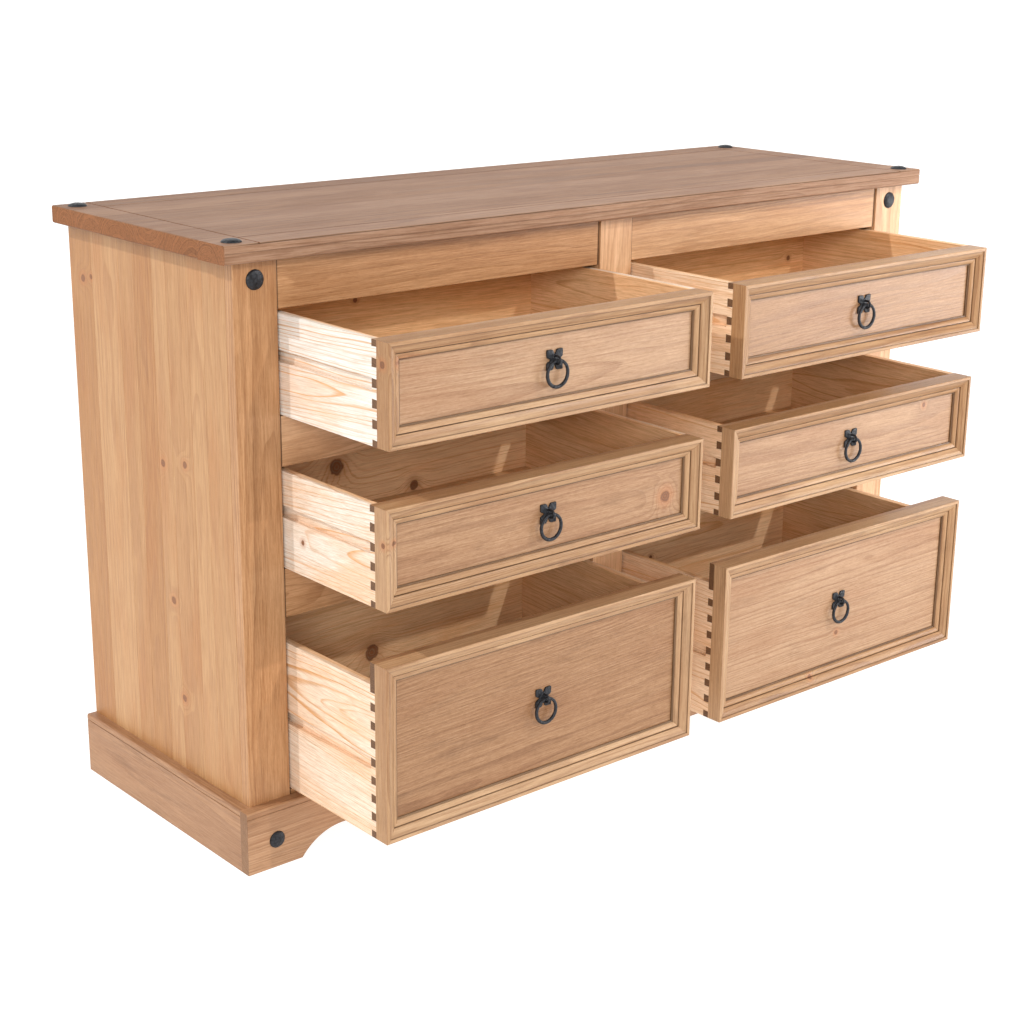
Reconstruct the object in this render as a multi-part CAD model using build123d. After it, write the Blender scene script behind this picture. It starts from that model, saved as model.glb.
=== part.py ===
"""Wide pine chest with two columns of three drawers.

Millimetres, +X to the right, +Y to the back, +Z up. The origin is on the floor under the
middle of the top. The drawers are drawn partly open, each at the distance in OPEN_BY.
"""
import os

from build123d import *

# ---- driving dimensions: the whole chest -------------------------------------------------
TOP_W, TOP_D, HEIGHT, TOP_T = 1320.0, 435.0, 835.0, 24.0
CARCASS_W = 1279.0
FRONT_OVERHANG, BACK_OVERHANG = 17.5, 4.0
BOARD = 18.0                      # thickness of sides, stiles, rails and partition

# face frame
STILE_W, CENTRE_STILE_W = 64.0, 61.0
RAIL_SETBACK = 3.0
TENON_L, TENON_T, TENON_SHOULDER = 12.0, 8.0, 6.0
OPENING_TOPS = (746.5, 543.0, 339.5)
OPENING_BOTTOMS = (609.5, 406.0, 95.0)
SILL_FOOT = 40.0                  # underside of the sill behind the plinth

# top
TOP_EDGE_R, TOP_UNDER_R = 2.5, 3.5
FRAME_LINE_INSET, FRAME_LINE_W, FRAME_LINE_D = 50.0, 2.0, 1.6
QUIRK_DROP, QUIRK_W, QUIRK_D = 10.5, 1.4, 1.0

# plinth
PLINTH_H, PLINTH_FRONT_T, PLINTH_SIDE_T = 89.0, 17.0, 15.0
PLINTH_EDGE_R = 3.0
FOOT_W, MIDDLE_FOOT_HALF, ARCH_RISE, ARCH_R = 85.5, 200.0, 32.0, 84.0
MIDDLE_FOOT_GAP = 4.0             # the middle foot is cut a little short of the floor
BLOCK, BLOCK_FOOT, BLOCK_TOP = 30.0, 1.0, 83.0   # glue blocks in the bottom corners

# drawers
DRAWER_GAP_X = 2.5
DRAWER_TOP_GAP, DRAWER_BOTTOM_GAP = 5.0, 2.0
DRAWER_L = 372.0
FRONT_T, SIDE_T, BACK_T, BASE_T = 18.0, 12.0, 12.0, 4.0
SIDE_DROP_DEEP = 30.0             # the deep drawers' sides stop below the front's top edge
LAP = 9.4                         # how far the tails reach into the front board
TAIL_H, PIN_H, TAIL_FLARE = 13.2, 11.65, 0.5
BASE_UP, BASE_GROOVE = 10.0, 5.0
BACK_INSET = 4.0                  # the drawer's back is housed this far from the sides' ends
GROOVE_H, GROOVE_D = 16.0, 6.5    # runner groove in each side's outer face
GROOVE_DROP = {"shallow": 46.0, "deep": 98.0}
RUNNER_PLAY, RUNNER_SIDE_PLAY = 0.8, 1.0
RUNNER_FRONT_SPACE, RUNNER_BACK_SPACE = 2.0, 6.0   # clear of a shut drawer, clear of the back

# moulding round each drawer front: (distance in from the rim, height above the panel)
MOULD_W, MOULD_H = 25.5, 15.0
RIM_W, STEP_H, QUIRK_U, QUIRK_H = 5.0, 13.4, 15.5, 8.0
BEAD_W = 7.0
LIP_W, LIP_T = 10.0, FRONT_T - LAP    # the strips' backs wrap the front board's edges

# how far each drawer's rim stands out from the face frame
OPEN_BY = {"left_top": 224.5, "left_middle": 217.5, "left_bottom": 214.0,
           "right_top": 221.5, "right_middle": 213.0, "right_bottom": 210.0}
COLUMNS = ("left", "right")
ROWS = ("top", "middle", "bottom")

# ring pulls
PULL_UP = 7.0                     # plate centre above the panel's centre
PLATE_T, PLATE_HALF, NOTCH_HALF, NOTCH_DEPTH = 2.4, 13.5, 4.2, 5.5
RING_R, WIRE_R, RING_OUT = 17.0, 2.5, 7.6
EYE_R, EYE_WIRE_R = 5.0, 1.7      # staple that the ring hangs in

# domed studs
STUD_R, STUD_H, STUD_SHANK_R, STUD_SHANK_L = 13.0, 4.6, 1.6, 12.0
FOOT_STUD_R, FOOT_STUD_H = 12.0, 3.4
TOP_STUD_X, TOP_STUD_FRONT, TOP_STUD_BACK = 635.0, 24.0, 26.0
STILE_STUD_X, STILE_STUD_Z = 607.5, 787.0
FOOT_STUD_X, FOOT_STUD_Z = 609.0, 40.0

# back
BACK_T_PANEL, BACK_REBATE, BACK_FOOT = 7.0, 8.0, 40.0

# ---- worked out --------------------------------------------------------------------------
HALF_W, HALF_D = TOP_W / 2, TOP_D / 2
SIDE_X = CARCASS_W / 2
CARCASS_TOP = HEIGHT - TOP_T
FACE_Y = -HALF_D + FRONT_OVERHANG
REAR_Y = HALF_D - BACK_OVERHANG
BEHIND_STILE_Y = FACE_Y + BOARD
RAIL_Y = FACE_Y + RAIL_SETBACK
STILE_IN = SIDE_X - STILE_W
CENTRE_HALF = CENTRE_STILE_W / 2
PLINTH_X = SIDE_X + PLINTH_SIDE_T
PLINTH_Y = FACE_Y - PLINTH_FRONT_T
BACK_Y = REAR_Y - BACK_T_PANEL
ALL_DRAWERS = [f"{column}_{row}" for column in COLUMNS for row in ROWS]


def block(x, y, z):
    """A square-edged board between three pairs of limits."""
    size = [abs(pair[1] - pair[0]) for pair in (x, y, z)]
    centre = [sum(pair) / 2 for pair in (x, y, z)]
    return Pos(*centre) * Box(*size)


def mirrored(limits):
    """The same pair of X limits on the other side of the chest."""
    return (-limits[1], -limits[0])


def both(shape):
    """A shape and its mirror image across the chest's middle."""
    return [shape, mirror(shape, about=Plane.YZ)]


def save(node, shapes):
    """Write one node: a single solid, or a group of separate solids."""
    solids = [solid for shape in shapes for solid in shape.solids()]
    export_step(Compound(children=solids) if len(solids) > 1 else solids[0], f"parts/{node}.step")


# ---- carcass -----------------------------------------------------------------------------
def rounded_along(body, axis_dir, where, radius):
    """Round the edges that run along one axis and satisfy a test on their centre."""
    edges = [edge for edge in body.edges().filter_by(axis_dir) if where(edge.center())]
    return fillet(edges, radius)


def top_panel():
    """Edge-glued top, rounded above, with a quirk along the front and scored frame lines."""
    body = block((-HALF_W, HALF_W), (-HALF_D, HALF_D), (CARCASS_TOP, HEIGHT))
    upper = [edge for edge in body.edges() if abs(edge.center().Z - HEIGHT) < 0.1]
    body = fillet(upper, TOP_EDGE_R)
    lower = [edge for edge in body.edges() if abs(edge.center().Z - CARCASS_TOP) < 0.1]
    body = fillet(lower, TOP_UNDER_R)
    quirk_z = HEIGHT - QUIRK_DROP
    body -= block((-HALF_W - 1, HALF_W + 1), (-HALF_D - 1, -HALF_D + QUIRK_D),
                  (quirk_z - QUIRK_W / 2, quirk_z + QUIRK_W / 2))
    floor_z = HEIGHT - FRAME_LINE_D
    line_x = HALF_W - FRAME_LINE_INSET
    line_y = HALF_D - FRAME_LINE_INSET
    for side in (-1, 1):
        body -= block((side * line_x - FRAME_LINE_W / 2, side * line_x + FRAME_LINE_W / 2),
                      (-HALF_D - 1, HALF_D + 1), (floor_z, HEIGHT + 1))
        body -= block((-line_x, line_x), (side * line_y - FRAME_LINE_W / 2,
                                         side * line_y + FRAME_LINE_W / 2),
                      (floor_z, HEIGHT + 1))
    return body


def side_panel():
    """Left side of edge-glued boards, rebated at the back for the back panel."""
    body = block((-SIDE_X, -SIDE_X + BOARD), (BEHIND_STILE_Y, REAR_Y), (0, CARCASS_TOP))
    return body - block((-SIDE_X + BOARD - BACK_REBATE, -SIDE_X + BOARD), (BACK_Y, REAR_Y),
                        (BACK_FOOT, CARCASS_TOP))


def tenon(x_end, direction, z):
    """A stub tenon at a rail's end, or the same shape to cut its mortise."""
    y_mid = RAIL_Y + BOARD / 2
    x = sorted((x_end, x_end + direction * TENON_L))
    return block(x, (y_mid - TENON_T / 2, y_mid + TENON_T / 2),
                 (z[0] + TENON_SHOULDER, z[1] - TENON_SHOULDER))


def rail_heights():
    """The heights of the rails, from the top rail down to the sill behind the plinth."""
    between = [(OPENING_BOTTOMS[row], OPENING_TOPS[row]) for row in range(len(ROWS))]
    return {"top": (between[0][1], CARCASS_TOP), "upper": (between[1][1], between[0][0]),
            "lower": (between[2][1], between[1][0]), "sill": (SILL_FOOT, between[2][0])}


def left_rail(z):
    """One rail of the left bay with its two stub tenons."""
    rail = block((-STILE_IN, -CENTRE_HALF), (RAIL_Y, RAIL_Y + BOARD), z)
    return rail + tenon(-STILE_IN, -1, z) + tenon(-CENTRE_HALF, 1, z)


def with_mortises(stile, x_faces):
    """Cut a mortise for every rail into a stile, at each face that rails meet."""
    for z in rail_heights().values():
        for x_face, direction in x_faces:
            stile -= tenon(x_face, direction, z)
    return stile


def outer_stile():
    """Left front stile, down to the floor behind the plinth."""
    body = block((-SIDE_X, -STILE_IN), (FACE_Y, BEHIND_STILE_Y), (0, CARCASS_TOP))
    return with_mortises(body, [(-STILE_IN, -1)])


def centre_stile():
    """Middle stile between the two columns of drawers."""
    body = block((-CENTRE_HALF, CENTRE_HALF), (FACE_Y, BEHIND_STILE_Y), (SILL_FOOT, CARCASS_TOP))
    return with_mortises(body, [(-CENTRE_HALF, 1), (CENTRE_HALF, -1)])


def centre_partition():
    """Upright board between the bays, from the floor up and back to the back panel."""
    x = (-BOARD / 2, BOARD / 2)
    body = block(x, (BEHIND_STILE_Y + RAIL_SETBACK, BACK_Y), (0, CARCASS_TOP))
    return body - block(x, (REAR_Y - BOARD, REAR_Y), (0, BACK_FOOT))


def back_panel():
    """Thin back in the rebates of the two sides."""
    reach = SIDE_X - BOARD + BACK_REBATE
    return block((-reach, reach), (BACK_Y, REAR_Y), (BACK_FOOT, CARCASS_TOP))


def back_rail():
    """Lower rear rail between the sides, which carries the back panel's foot."""
    return block((-SIDE_X + BOARD, SIDE_X - BOARD), (REAR_Y - BOARD, REAR_Y), (0, BACK_FOOT))


# ---- plinth ------------------------------------------------------------------------------
def eased(body, z, on_outside):
    """Round the outer top edge of a plinth board."""
    edges = [e for e in body.edges() if abs(e.center().Z - z) < 0.1 and on_outside(e.center())]
    return fillet(edges, PLINTH_EDGE_R)


def arch_opening():
    """The cut under the left half of the plinth front, between its two feet."""
    outer, inner = -PLINTH_X + FOOT_W, -MIDDLE_FOOT_HALF
    run = (ARCH_R ** 2 - (ARCH_R - ARCH_RISE) ** 2) ** 0.5
    low = -ARCH_RISE
    left = ThreePointArc((outer, 0), (outer + run * 0.42, ARCH_RISE * 0.667),
                         (outer + run, ARCH_RISE))
    flat = Line((outer + run, ARCH_RISE), (inner - run, ARCH_RISE))
    right = ThreePointArc((inner - run, ARCH_RISE), (inner - run * 0.42, ARCH_RISE * 0.667),
                          (inner, 0))
    under = Polyline((inner, 0), (inner, low), (outer, low), (outer, 0))
    face = make_face(Wire([*left.edges(), *flat.edges(), *right.edges(), *under.edges()]))
    sketch = Plane.XZ * face
    return Pos(0, PLINTH_Y + 2 * PLINTH_FRONT_T, 0) * extrude(sketch, 3 * PLINTH_FRONT_T)


def plinth_front():
    """Front plinth board with two arches, two shaped feet and a middle foot."""
    body = block((-PLINTH_X, PLINTH_X), (PLINTH_Y, FACE_Y), (0, PLINTH_H))
    body = eased(body, PLINTH_H, lambda c: c.Y < PLINTH_Y + 1)
    for opening in both(arch_opening()):
        body -= opening
    return body - block((-MIDDLE_FOOT_HALF, MIDDLE_FOOT_HALF), (PLINTH_Y - 1, FACE_Y + 1),
                        (-1, MIDDLE_FOOT_GAP))


def plinth_side():
    """Left plinth board, butted behind the front board."""
    body = block((-PLINTH_X, -SIDE_X), (FACE_Y, REAR_Y), (0, PLINTH_H))
    return eased(body, PLINTH_H, lambda c: c.X < -PLINTH_X + 1)


def corner_blocks():
    """Glue blocks inside the four bottom corners of the carcass."""
    blocks = []
    inner = SIDE_X - BOARD
    for y in ((BEHIND_STILE_Y, BEHIND_STILE_Y + BLOCK), (REAR_Y - BOARD - BLOCK, REAR_Y - BOARD)):
        blocks += both(block((-inner, -inner + BLOCK), y, (BLOCK_FOOT, BLOCK_TOP)))
    return blocks


# ---- drawers -----------------------------------------------------------------------------
class Drawer:
    """The limits of one drawer box in the chest's frame, at its drawn position."""

    def __init__(self, name):
        column, row = name.split("_")
        index = ROWS.index(row)
        self.name = name
        self.deep = row == "bottom"
        inner, outer = CENTRE_HALF + DRAWER_GAP_X, STILE_IN - DRAWER_GAP_X
        self.x = (inner, outer) if column == "right" else (-outer, -inner)
        self.z = (OPENING_BOTTOMS[index] + DRAWER_BOTTOM_GAP,
                  OPENING_TOPS[index] - DRAWER_TOP_GAP)
        self.side_top = self.z[1] - (SIDE_DROP_DEEP if self.deep else 0.0)
        self.rim_y = FACE_Y - OPEN_BY[name]
        self.panel_y = self.rim_y + MOULD_H
        self.inner_y = self.panel_y + FRONT_T
        self.lap_y = self.inner_y - LAP
        self.end_y = self.rim_y + DRAWER_L
        self.groove_z = self.side_top - GROOVE_DROP["deep" if self.deep else "shallow"]
        self.centre_x = sum(self.x) / 2
        self.pull_z = sum(self.z) / 2 + PULL_UP

    def tail_spans(self):
        """Height limits of each dovetail tail, spaced evenly on the side's height."""
        height = self.side_top - self.z[0]
        count = int((height - 6.0 + PIN_H) // (TAIL_H + PIN_H))
        margin = (height - count * TAIL_H - (count - 1) * PIN_H) / 2
        starts = [self.z[0] + margin + n * (TAIL_H + PIN_H) for n in range(count)]
        return [(start, start + TAIL_H) for start in starts]

    def tails(self, x):
        """The tails of one side, flared towards the front, as one solid each."""
        shapes = []
        for low, high in self.tail_spans():
            outline = Polyline((self.lap_y, low - TAIL_FLARE), (self.lap_y, high + TAIL_FLARE),
                               (self.inner_y, high), (self.inner_y, low), close=True)
            face = Plane.YZ * make_face(outline)
            shapes.append(Pos(x[0], 0, 0) * extrude(face, x[1] - x[0]))
        return shapes

    def side_limits(self):
        """X limits of the left and right side boards."""
        return (self.x[0], self.x[0] + SIDE_T), (self.x[1] - SIDE_T, self.x[1])

    def base(self):
        """Thin bottom, housed in grooves in the sides and the front."""
        inset = SIDE_T - BASE_GROOVE
        return block((self.x[0] + inset, self.x[1] - inset),
                     (self.inner_y - BASE_GROOVE, self.end_y),
                     (self.z[0] + BASE_UP, self.z[0] + BASE_UP + BASE_T))

    def back(self):
        """Back board, housed between the sides and standing on the bottom."""
        inset = SIDE_T - BASE_GROOVE
        return block((self.x[0] + inset, self.x[1] - inset),
                     (self.end_y - BACK_T - BACK_INSET, self.end_y - BACK_INSET),
                     (self.z[0] + BASE_UP + BASE_T, self.side_top))

    def sides(self):
        """The two side boards with tails in front and a runner groove outside."""
        boards = []
        for x, outer, turn in zip(self.side_limits(), self.x, (1, -1)):
            board = block(x, (self.inner_y, self.end_y), (self.z[0], self.side_top))
            for tail in self.tails(x):
                board += tail
            groove_x = sorted((outer - turn, outer + turn * GROOVE_D))
            board -= block(groove_x, (self.inner_y, self.end_y + 1),
                           (self.groove_z - GROOVE_H, self.groove_z))
            boards.append(board - self.base() - self.back())
        return boards

    def front(self):
        """Front board, rebated all round for the moulding, with sockets for the tails."""
        board = block(self.x, (self.lap_y, self.inner_y), self.z)
        board += block((self.x[0] + LIP_W, self.x[1] - LIP_W), (self.panel_y, self.lap_y),
                       (self.z[0] + LIP_W, self.z[1] - LIP_W))
        for x in self.side_limits():
            for tail in self.tails(x):
                board -= tail
        return board - self.base()

    def moulding(self):
        """Four mitred strips that frame the recessed panel."""
        width, height = self.x[1] - self.x[0], self.z[1] - self.z[0]
        strips = []
        for length, reach, turn in ((width, height, 0), (width, height, 180),
                                    (height, width, 90), (height, width, 270)):
            strip = mitred_strip(length)
            strips.append(Rot(0, turn, 0) * Pos(0, 0, -reach / 2) * strip)
        return [Pos(self.centre_x, self.panel_y, sum(self.z) / 2) * strip for strip in strips]


def mitred_strip(length):
    """One moulding strip along X, rim at Z = 0, its inner edge on the board's face at Y = 0."""
    ovolo = ThreePointArc((-STEP_H, RIM_W), (-11.6, RIM_W + 6.6), (-QUIRK_H, QUIRK_U))
    bead_mid = (-QUIRK_H - 1.4, QUIRK_U + 1.2 + BEAD_W * 0.45)
    bead = ThreePointArc((-QUIRK_H + 1.0, QUIRK_U + 1.2), bead_mid, (-3.0, QUIRK_U + 1.2 + BEAD_W))
    outline = Polyline((0, MOULD_W), (0, LIP_W), (LIP_T, LIP_W), (LIP_T, 0), (-MOULD_H, 0),
                       (-MOULD_H, RIM_W), (-STEP_H, RIM_W))
    join = Line((-QUIRK_H, QUIRK_U), (-QUIRK_H + 1.0, QUIRK_U + 1.2))
    close = Polyline((-3.0, QUIRK_U + 1.2 + BEAD_W), (-3.0, MOULD_W), (0, MOULD_W))
    wire = Wire([edge for part in (outline, ovolo, join, bead, close) for edge in part.edges()])
    bar = Pos(-length / 2, 0, 0) * extrude(Plane.YZ * make_face(wire), length)
    half = length / 2
    keep = Polyline((-half, 0), (half, 0), (half - MOULD_W, MOULD_W), (-half + MOULD_W, MOULD_W),
                    close=True)
    prism = Pos(0, LIP_T + 1, 0) * extrude(Plane.XZ * make_face(keep), LIP_T + MOULD_H + 2)
    return bar & prism


def runners(drawers):
    """Twelve battens, from a side or the partition into the grooves of the drawer sides."""
    battens = []
    for drawer in drawers:
        z = (drawer.groove_z - GROOVE_H + RUNNER_PLAY, drawer.groove_z - RUNNER_PLAY)
        y = (FACE_Y + MOULD_H + FRONT_T + RUNNER_FRONT_SPACE, BACK_Y - RUNNER_BACK_SPACE)
        into = GROOVE_D - RUNNER_SIDE_PLAY
        outer_wall, inner_wall = SIDE_X - BOARD, BOARD / 2
        if drawer.name.startswith("left"):
            spans = ((-outer_wall, drawer.x[0] + into), (drawer.x[1] - into, -inner_wall))
        else:
            spans = ((inner_wall, drawer.x[0] + into), (drawer.x[1] - into, outer_wall))
        battens += [block(x, y, z) for x in spans]
    return battens


# ---- ironwork ----------------------------------------------------------------------------
def pull_plate(drawer):
    """A square back plate notched on every edge, with the staple that carries the ring."""
    at = Pos(drawer.centre_x, drawer.panel_y, drawer.pull_z)
    points, edge = [], ((-PLATE_HALF, PLATE_HALF), (-NOTCH_HALF, PLATE_HALF),
                        (0, PLATE_HALF - NOTCH_DEPTH), (NOTCH_HALF, PLATE_HALF))
    for _ in range(4):
        points += edge
        edge = [(v, -u) for u, v in edge]
    plate = extrude(Plane.XZ * make_face(Polyline(*points, close=True)), PLATE_T)
    bend = ThreePointArc((0, -RING_OUT, -EYE_R), (0, -RING_OUT - EYE_R, 0), (0, -RING_OUT, EYE_R))
    legs_low = Line((0, -0.5, -EYE_R), (0, -RING_OUT, -EYE_R))
    legs_high = Line((0, -RING_OUT, EYE_R), (0, -0.5, EYE_R))
    path = Wire([*legs_low.edges(), *bend.edges(), *legs_high.edges()])
    section = Plane(origin=(0, -0.5, -EYE_R), z_dir=(0, -1, 0)) * Circle(EYE_WIRE_R)
    staple = sweep(section, path=path)
    return at * (plate + staple)


def pull_ring(drawer):
    """Forged ring that hangs in the staple."""
    ring = Torus(RING_R, WIRE_R, rotation=(90, 0, 0))
    return Pos(drawer.centre_x, drawer.panel_y - RING_OUT, drawer.pull_z - RING_R) * ring


def stud(radius, height):
    """A domed nail head on the plane Z = 0 with its shank below."""
    sphere_r = (radius ** 2 + height ** 2) / (2 * height)
    cap = Pos(0, 0, height - sphere_r) * Sphere(sphere_r)
    cap &= Pos(0, 0, height / 2) * Box(4 * radius, 4 * radius, height)
    return cap + Pos(0, 0, -STUD_SHANK_L / 2 + 0.5) * Cylinder(STUD_SHANK_R, STUD_SHANK_L + 1)


def studs():
    """Domed studs on the top's corners, the outer stiles and the plinth's front feet."""
    upright = Rot(90, 0, 0)
    heads = []
    for y in (-HALF_D + TOP_STUD_FRONT, HALF_D - TOP_STUD_BACK):
        heads += both(Pos(-TOP_STUD_X, y, HEIGHT) * stud(STUD_R, STUD_H))
    heads += both(Pos(-STILE_STUD_X, FACE_Y, STILE_STUD_Z) * upright * stud(STUD_R, STUD_H))
    foot = upright * stud(FOOT_STUD_R, FOOT_STUD_H)
    heads += both(Pos(-FOOT_STUD_X, PLINTH_Y, FOOT_STUD_Z) * foot)
    return heads


# ---- everything --------------------------------------------------------------------------
def main():
    """Write every node of the chest."""
    os.makedirs("parts", exist_ok=True)
    rails = rail_heights()
    drawers = [Drawer(name) for name in ALL_DRAWERS]
    save("top_panel", [top_panel()])
    for node, shape in (("side_panel", side_panel()), ("front_stile", outer_stile()),
                        ("plinth_side", plinth_side())):
        for column, part in zip(COLUMNS, both(shape)):
            save(f"{node}_{column}", [part])
    save("centre_stile", [centre_stile()])
    save("top_rails", both(left_rail(rails["top"])))
    save("drawer_rails", both(left_rail(rails["upper"])) + both(left_rail(rails["lower"])))
    save("sill_rails", both(left_rail(rails["sill"])))
    save("centre_partition", [centre_partition()])
    save("back_panel", [back_panel()])
    save("back_rail", [back_rail()])
    save("drawer_runners", runners(drawers))
    save("plinth_front", [plinth_front()])
    save("corner_blocks", corner_blocks())
    save("domed_studs", studs())
    for drawer in drawers:
        save(f"{drawer.name}_front", [drawer.front()])
        save(f"{drawer.name}_moulding", drawer.moulding())
        save(f"{drawer.name}_sides", drawer.sides())
        save(f"{drawer.name}_back", [drawer.back()])
        save(f"{drawer.name}_base", [drawer.base()])
        save(f"{drawer.name}_pull_plate", [pull_plate(drawer)])
        save(f"{drawer.name}_pull_ring", [pull_ring(drawer)])


main()
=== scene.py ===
"""Looks of a wide pine chest with two columns of three drawers.

Lengths are millimetres until piece() writes them into a mesh in metres. +X runs to the right,
+Y to the back and +Z up, with the origin on the floor under the middle of the top.
"""
import math
import random

import bmesh
import bpy
from mathutils import Matrix, Vector, noise


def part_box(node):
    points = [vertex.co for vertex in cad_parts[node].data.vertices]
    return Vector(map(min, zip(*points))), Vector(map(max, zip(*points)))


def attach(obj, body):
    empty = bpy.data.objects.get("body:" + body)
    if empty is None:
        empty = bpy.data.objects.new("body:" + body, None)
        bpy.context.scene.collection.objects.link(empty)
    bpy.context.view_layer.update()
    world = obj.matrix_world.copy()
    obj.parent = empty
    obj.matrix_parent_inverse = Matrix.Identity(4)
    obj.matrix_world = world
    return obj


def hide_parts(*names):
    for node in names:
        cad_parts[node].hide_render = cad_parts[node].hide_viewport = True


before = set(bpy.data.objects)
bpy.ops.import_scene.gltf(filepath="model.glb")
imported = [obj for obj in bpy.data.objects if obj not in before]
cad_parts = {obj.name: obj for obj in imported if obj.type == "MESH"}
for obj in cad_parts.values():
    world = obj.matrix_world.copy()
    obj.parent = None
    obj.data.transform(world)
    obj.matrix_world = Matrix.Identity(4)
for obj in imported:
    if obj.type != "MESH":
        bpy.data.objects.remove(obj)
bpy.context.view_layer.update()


# ---- studio ------------------------------------------------------------------------------
# A white floor that rises into a wall behind the chest, under a pale sky. Hard lamps stand in
# front, to the left and near on the right, a soft one fills in, a soft box gives a sheen.
MM = 0.001
FLOOR_HALF, SWEEP_START, SWEEP_R, SWEEP_STEPS, WALL_H = 9000, 1800, 1500, 18, 6000
FLOOR_GREY, FLOOR_GLOW = 0.3, 0.9
SKY_COLOUR, SKY_STRENGTH = (1.0, 0.985, 0.97, 1.0), 0.42
CAMERA_AT = (-1847.0, -2131.5, 1195.0)
CAMERA_TURN, CAMERA_DIP, CAMERA_ROLL = 40.63, 17.13, 0.65
CAMERA_LENS, CAMERA_SENSOR, CAMERA_REACH = 66.1, 36.0, 60000.0
# Direction that it shines along, strength, spread in degrees and colour.
SUNS = {
    "lamp_front": ((-0.24, 1.0, -0.59), 0.7, 1.2, (1.0, 0.97, 0.93)),
    "lamp_left": ((0.9, -0.27, -1.0), 1.5, 1.2, (1.0, 0.98, 0.96)),
    "lamp_fill": ((0.622, 0.725, -0.34), 1.4, 24.0, (1.0, 0.97, 0.93)),
}
NEAR_LAMP_AT, NEAR_LAMP_POWER, NEAR_LAMP_R = (1047.0, -1300.0, 1860.0), 55.0, 25.0
SOFT_BOX_AT, SOFT_BOX_AIM, SOFT_BOX_SIZE = (2500.0, -2100.0, 350.0), (250.0, -300.0, 400.0), 1200.0
SOFT_BOX_POWER = 46.0


def add_camera():
    """The camera, from its place, its turn from the +Y axis, its dip and its roll."""
    turn, dip, roll = (math.radians(a) for a in (CAMERA_TURN, CAMERA_DIP, CAMERA_ROLL))
    forward = Vector((math.sin(turn) * math.cos(dip), math.cos(turn) * math.cos(dip),
                      -math.sin(dip)))
    level = Vector((math.cos(turn), -math.sin(turn), 0.0))
    upright = level.cross(forward)
    right = level * math.cos(roll) + upright * math.sin(roll)
    up = upright * math.cos(roll) - level * math.sin(roll)
    data = bpy.data.cameras.new("camera")
    data.lens, data.sensor_width = CAMERA_LENS, CAMERA_SENSOR
    data.clip_end = CAMERA_REACH * MM
    camera = bpy.data.objects.new("camera", data)
    camera.matrix_world = (Matrix.Translation(Vector(CAMERA_AT) * MM)
                           @ Matrix((right, up, -forward)).transposed().to_4x4())
    bpy.context.scene.collection.objects.link(camera)
    bpy.context.scene.camera = camera


def add_lamps():
    """A small lamp and a soft box near by, and far lamps that shine along directions."""
    near = bpy.data.lights.new("lamp_right", "POINT")
    near.energy, near.shadow_soft_size = NEAR_LAMP_POWER, NEAR_LAMP_R * MM
    lamp = bpy.data.objects.new("lamp_right", near)
    lamp.location = Vector(NEAR_LAMP_AT) * MM
    bpy.context.scene.collection.objects.link(lamp)
    box = bpy.data.lights.new("soft_box", "AREA")
    box.energy, box.size = SOFT_BOX_POWER, SOFT_BOX_SIZE * MM
    lamp = bpy.data.objects.new("soft_box", box)
    lamp.location = Vector(SOFT_BOX_AT) * MM
    lamp.rotation_mode = "QUATERNION"
    aim = Vector(SOFT_BOX_AIM) - Vector(SOFT_BOX_AT)
    lamp.rotation_quaternion = aim.to_track_quat("-Z", "Y")
    bpy.context.scene.collection.objects.link(lamp)
    for name, (direction, strength, spread, colour) in SUNS.items():
        data = bpy.data.lights.new(name, "SUN")
        data.energy, data.color, data.angle = strength, colour, math.radians(spread)
        lamp = bpy.data.objects.new(name, data)
        lamp.rotation_mode = "QUATERNION"
        lamp.rotation_quaternion = Vector(direction).to_track_quat("-Z", "Y")
        bpy.context.scene.collection.objects.link(lamp)


def add_sky():
    """An even pale sky, seen with a plain film response."""
    world = bpy.data.worlds.new("sky")
    world.use_nodes = True
    background = world.node_tree.nodes["Background"]
    background.inputs["Color"].default_value = SKY_COLOUR
    background.inputs["Strength"].default_value = SKY_STRENGTH
    bpy.context.scene.world = world
    bpy.context.scene.view_settings.view_transform = "Standard"


def add_floor():
    """The floor and the wall as one bent sheet."""
    bend = [(SWEEP_START + SWEEP_R * math.sin(a), SWEEP_R * (1 - math.cos(a)))
            for a in [math.radians(90 / SWEEP_STEPS * n) for n in range(SWEEP_STEPS + 1)]]
    profile = [(-FLOOR_HALF, 0.0)] + bend + [(SWEEP_START + SWEEP_R, WALL_H)]
    corners = [(side * FLOOR_HALF, y, z) for y, z in profile for side in (-1, 1)]
    faces = [(2 * n, 2 * n + 1, 2 * n + 3, 2 * n + 2) for n in range(len(profile) - 1)]
    mesh = bpy.data.meshes.new("floor")
    mesh.from_pydata([Vector(corner) * MM for corner in corners], [], faces)
    mesh.shade_smooth()
    floor = bpy.data.objects.new("floor", mesh)
    bpy.context.scene.collection.objects.link(floor)
    paint = bpy.data.materials.new("floor_paint")
    paint.use_nodes = True
    shader = paint.node_tree.nodes["Principled BSDF"]
    shader.inputs["Base Color"].default_value = (FLOOR_GREY, FLOOR_GREY, FLOOR_GREY, 1.0)
    shader.inputs["Roughness"].default_value = 0.9
    shader.inputs["Specular IOR Level"].default_value = 0.1
    shader.inputs["Emission Color"].default_value = (1.0, 1.0, 1.0, 1.0)
    shader.inputs["Emission Strength"].default_value = FLOOR_GLOW
    mesh.materials.append(paint)


add_camera()
add_lamps()
add_sky()
add_floor()


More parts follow.
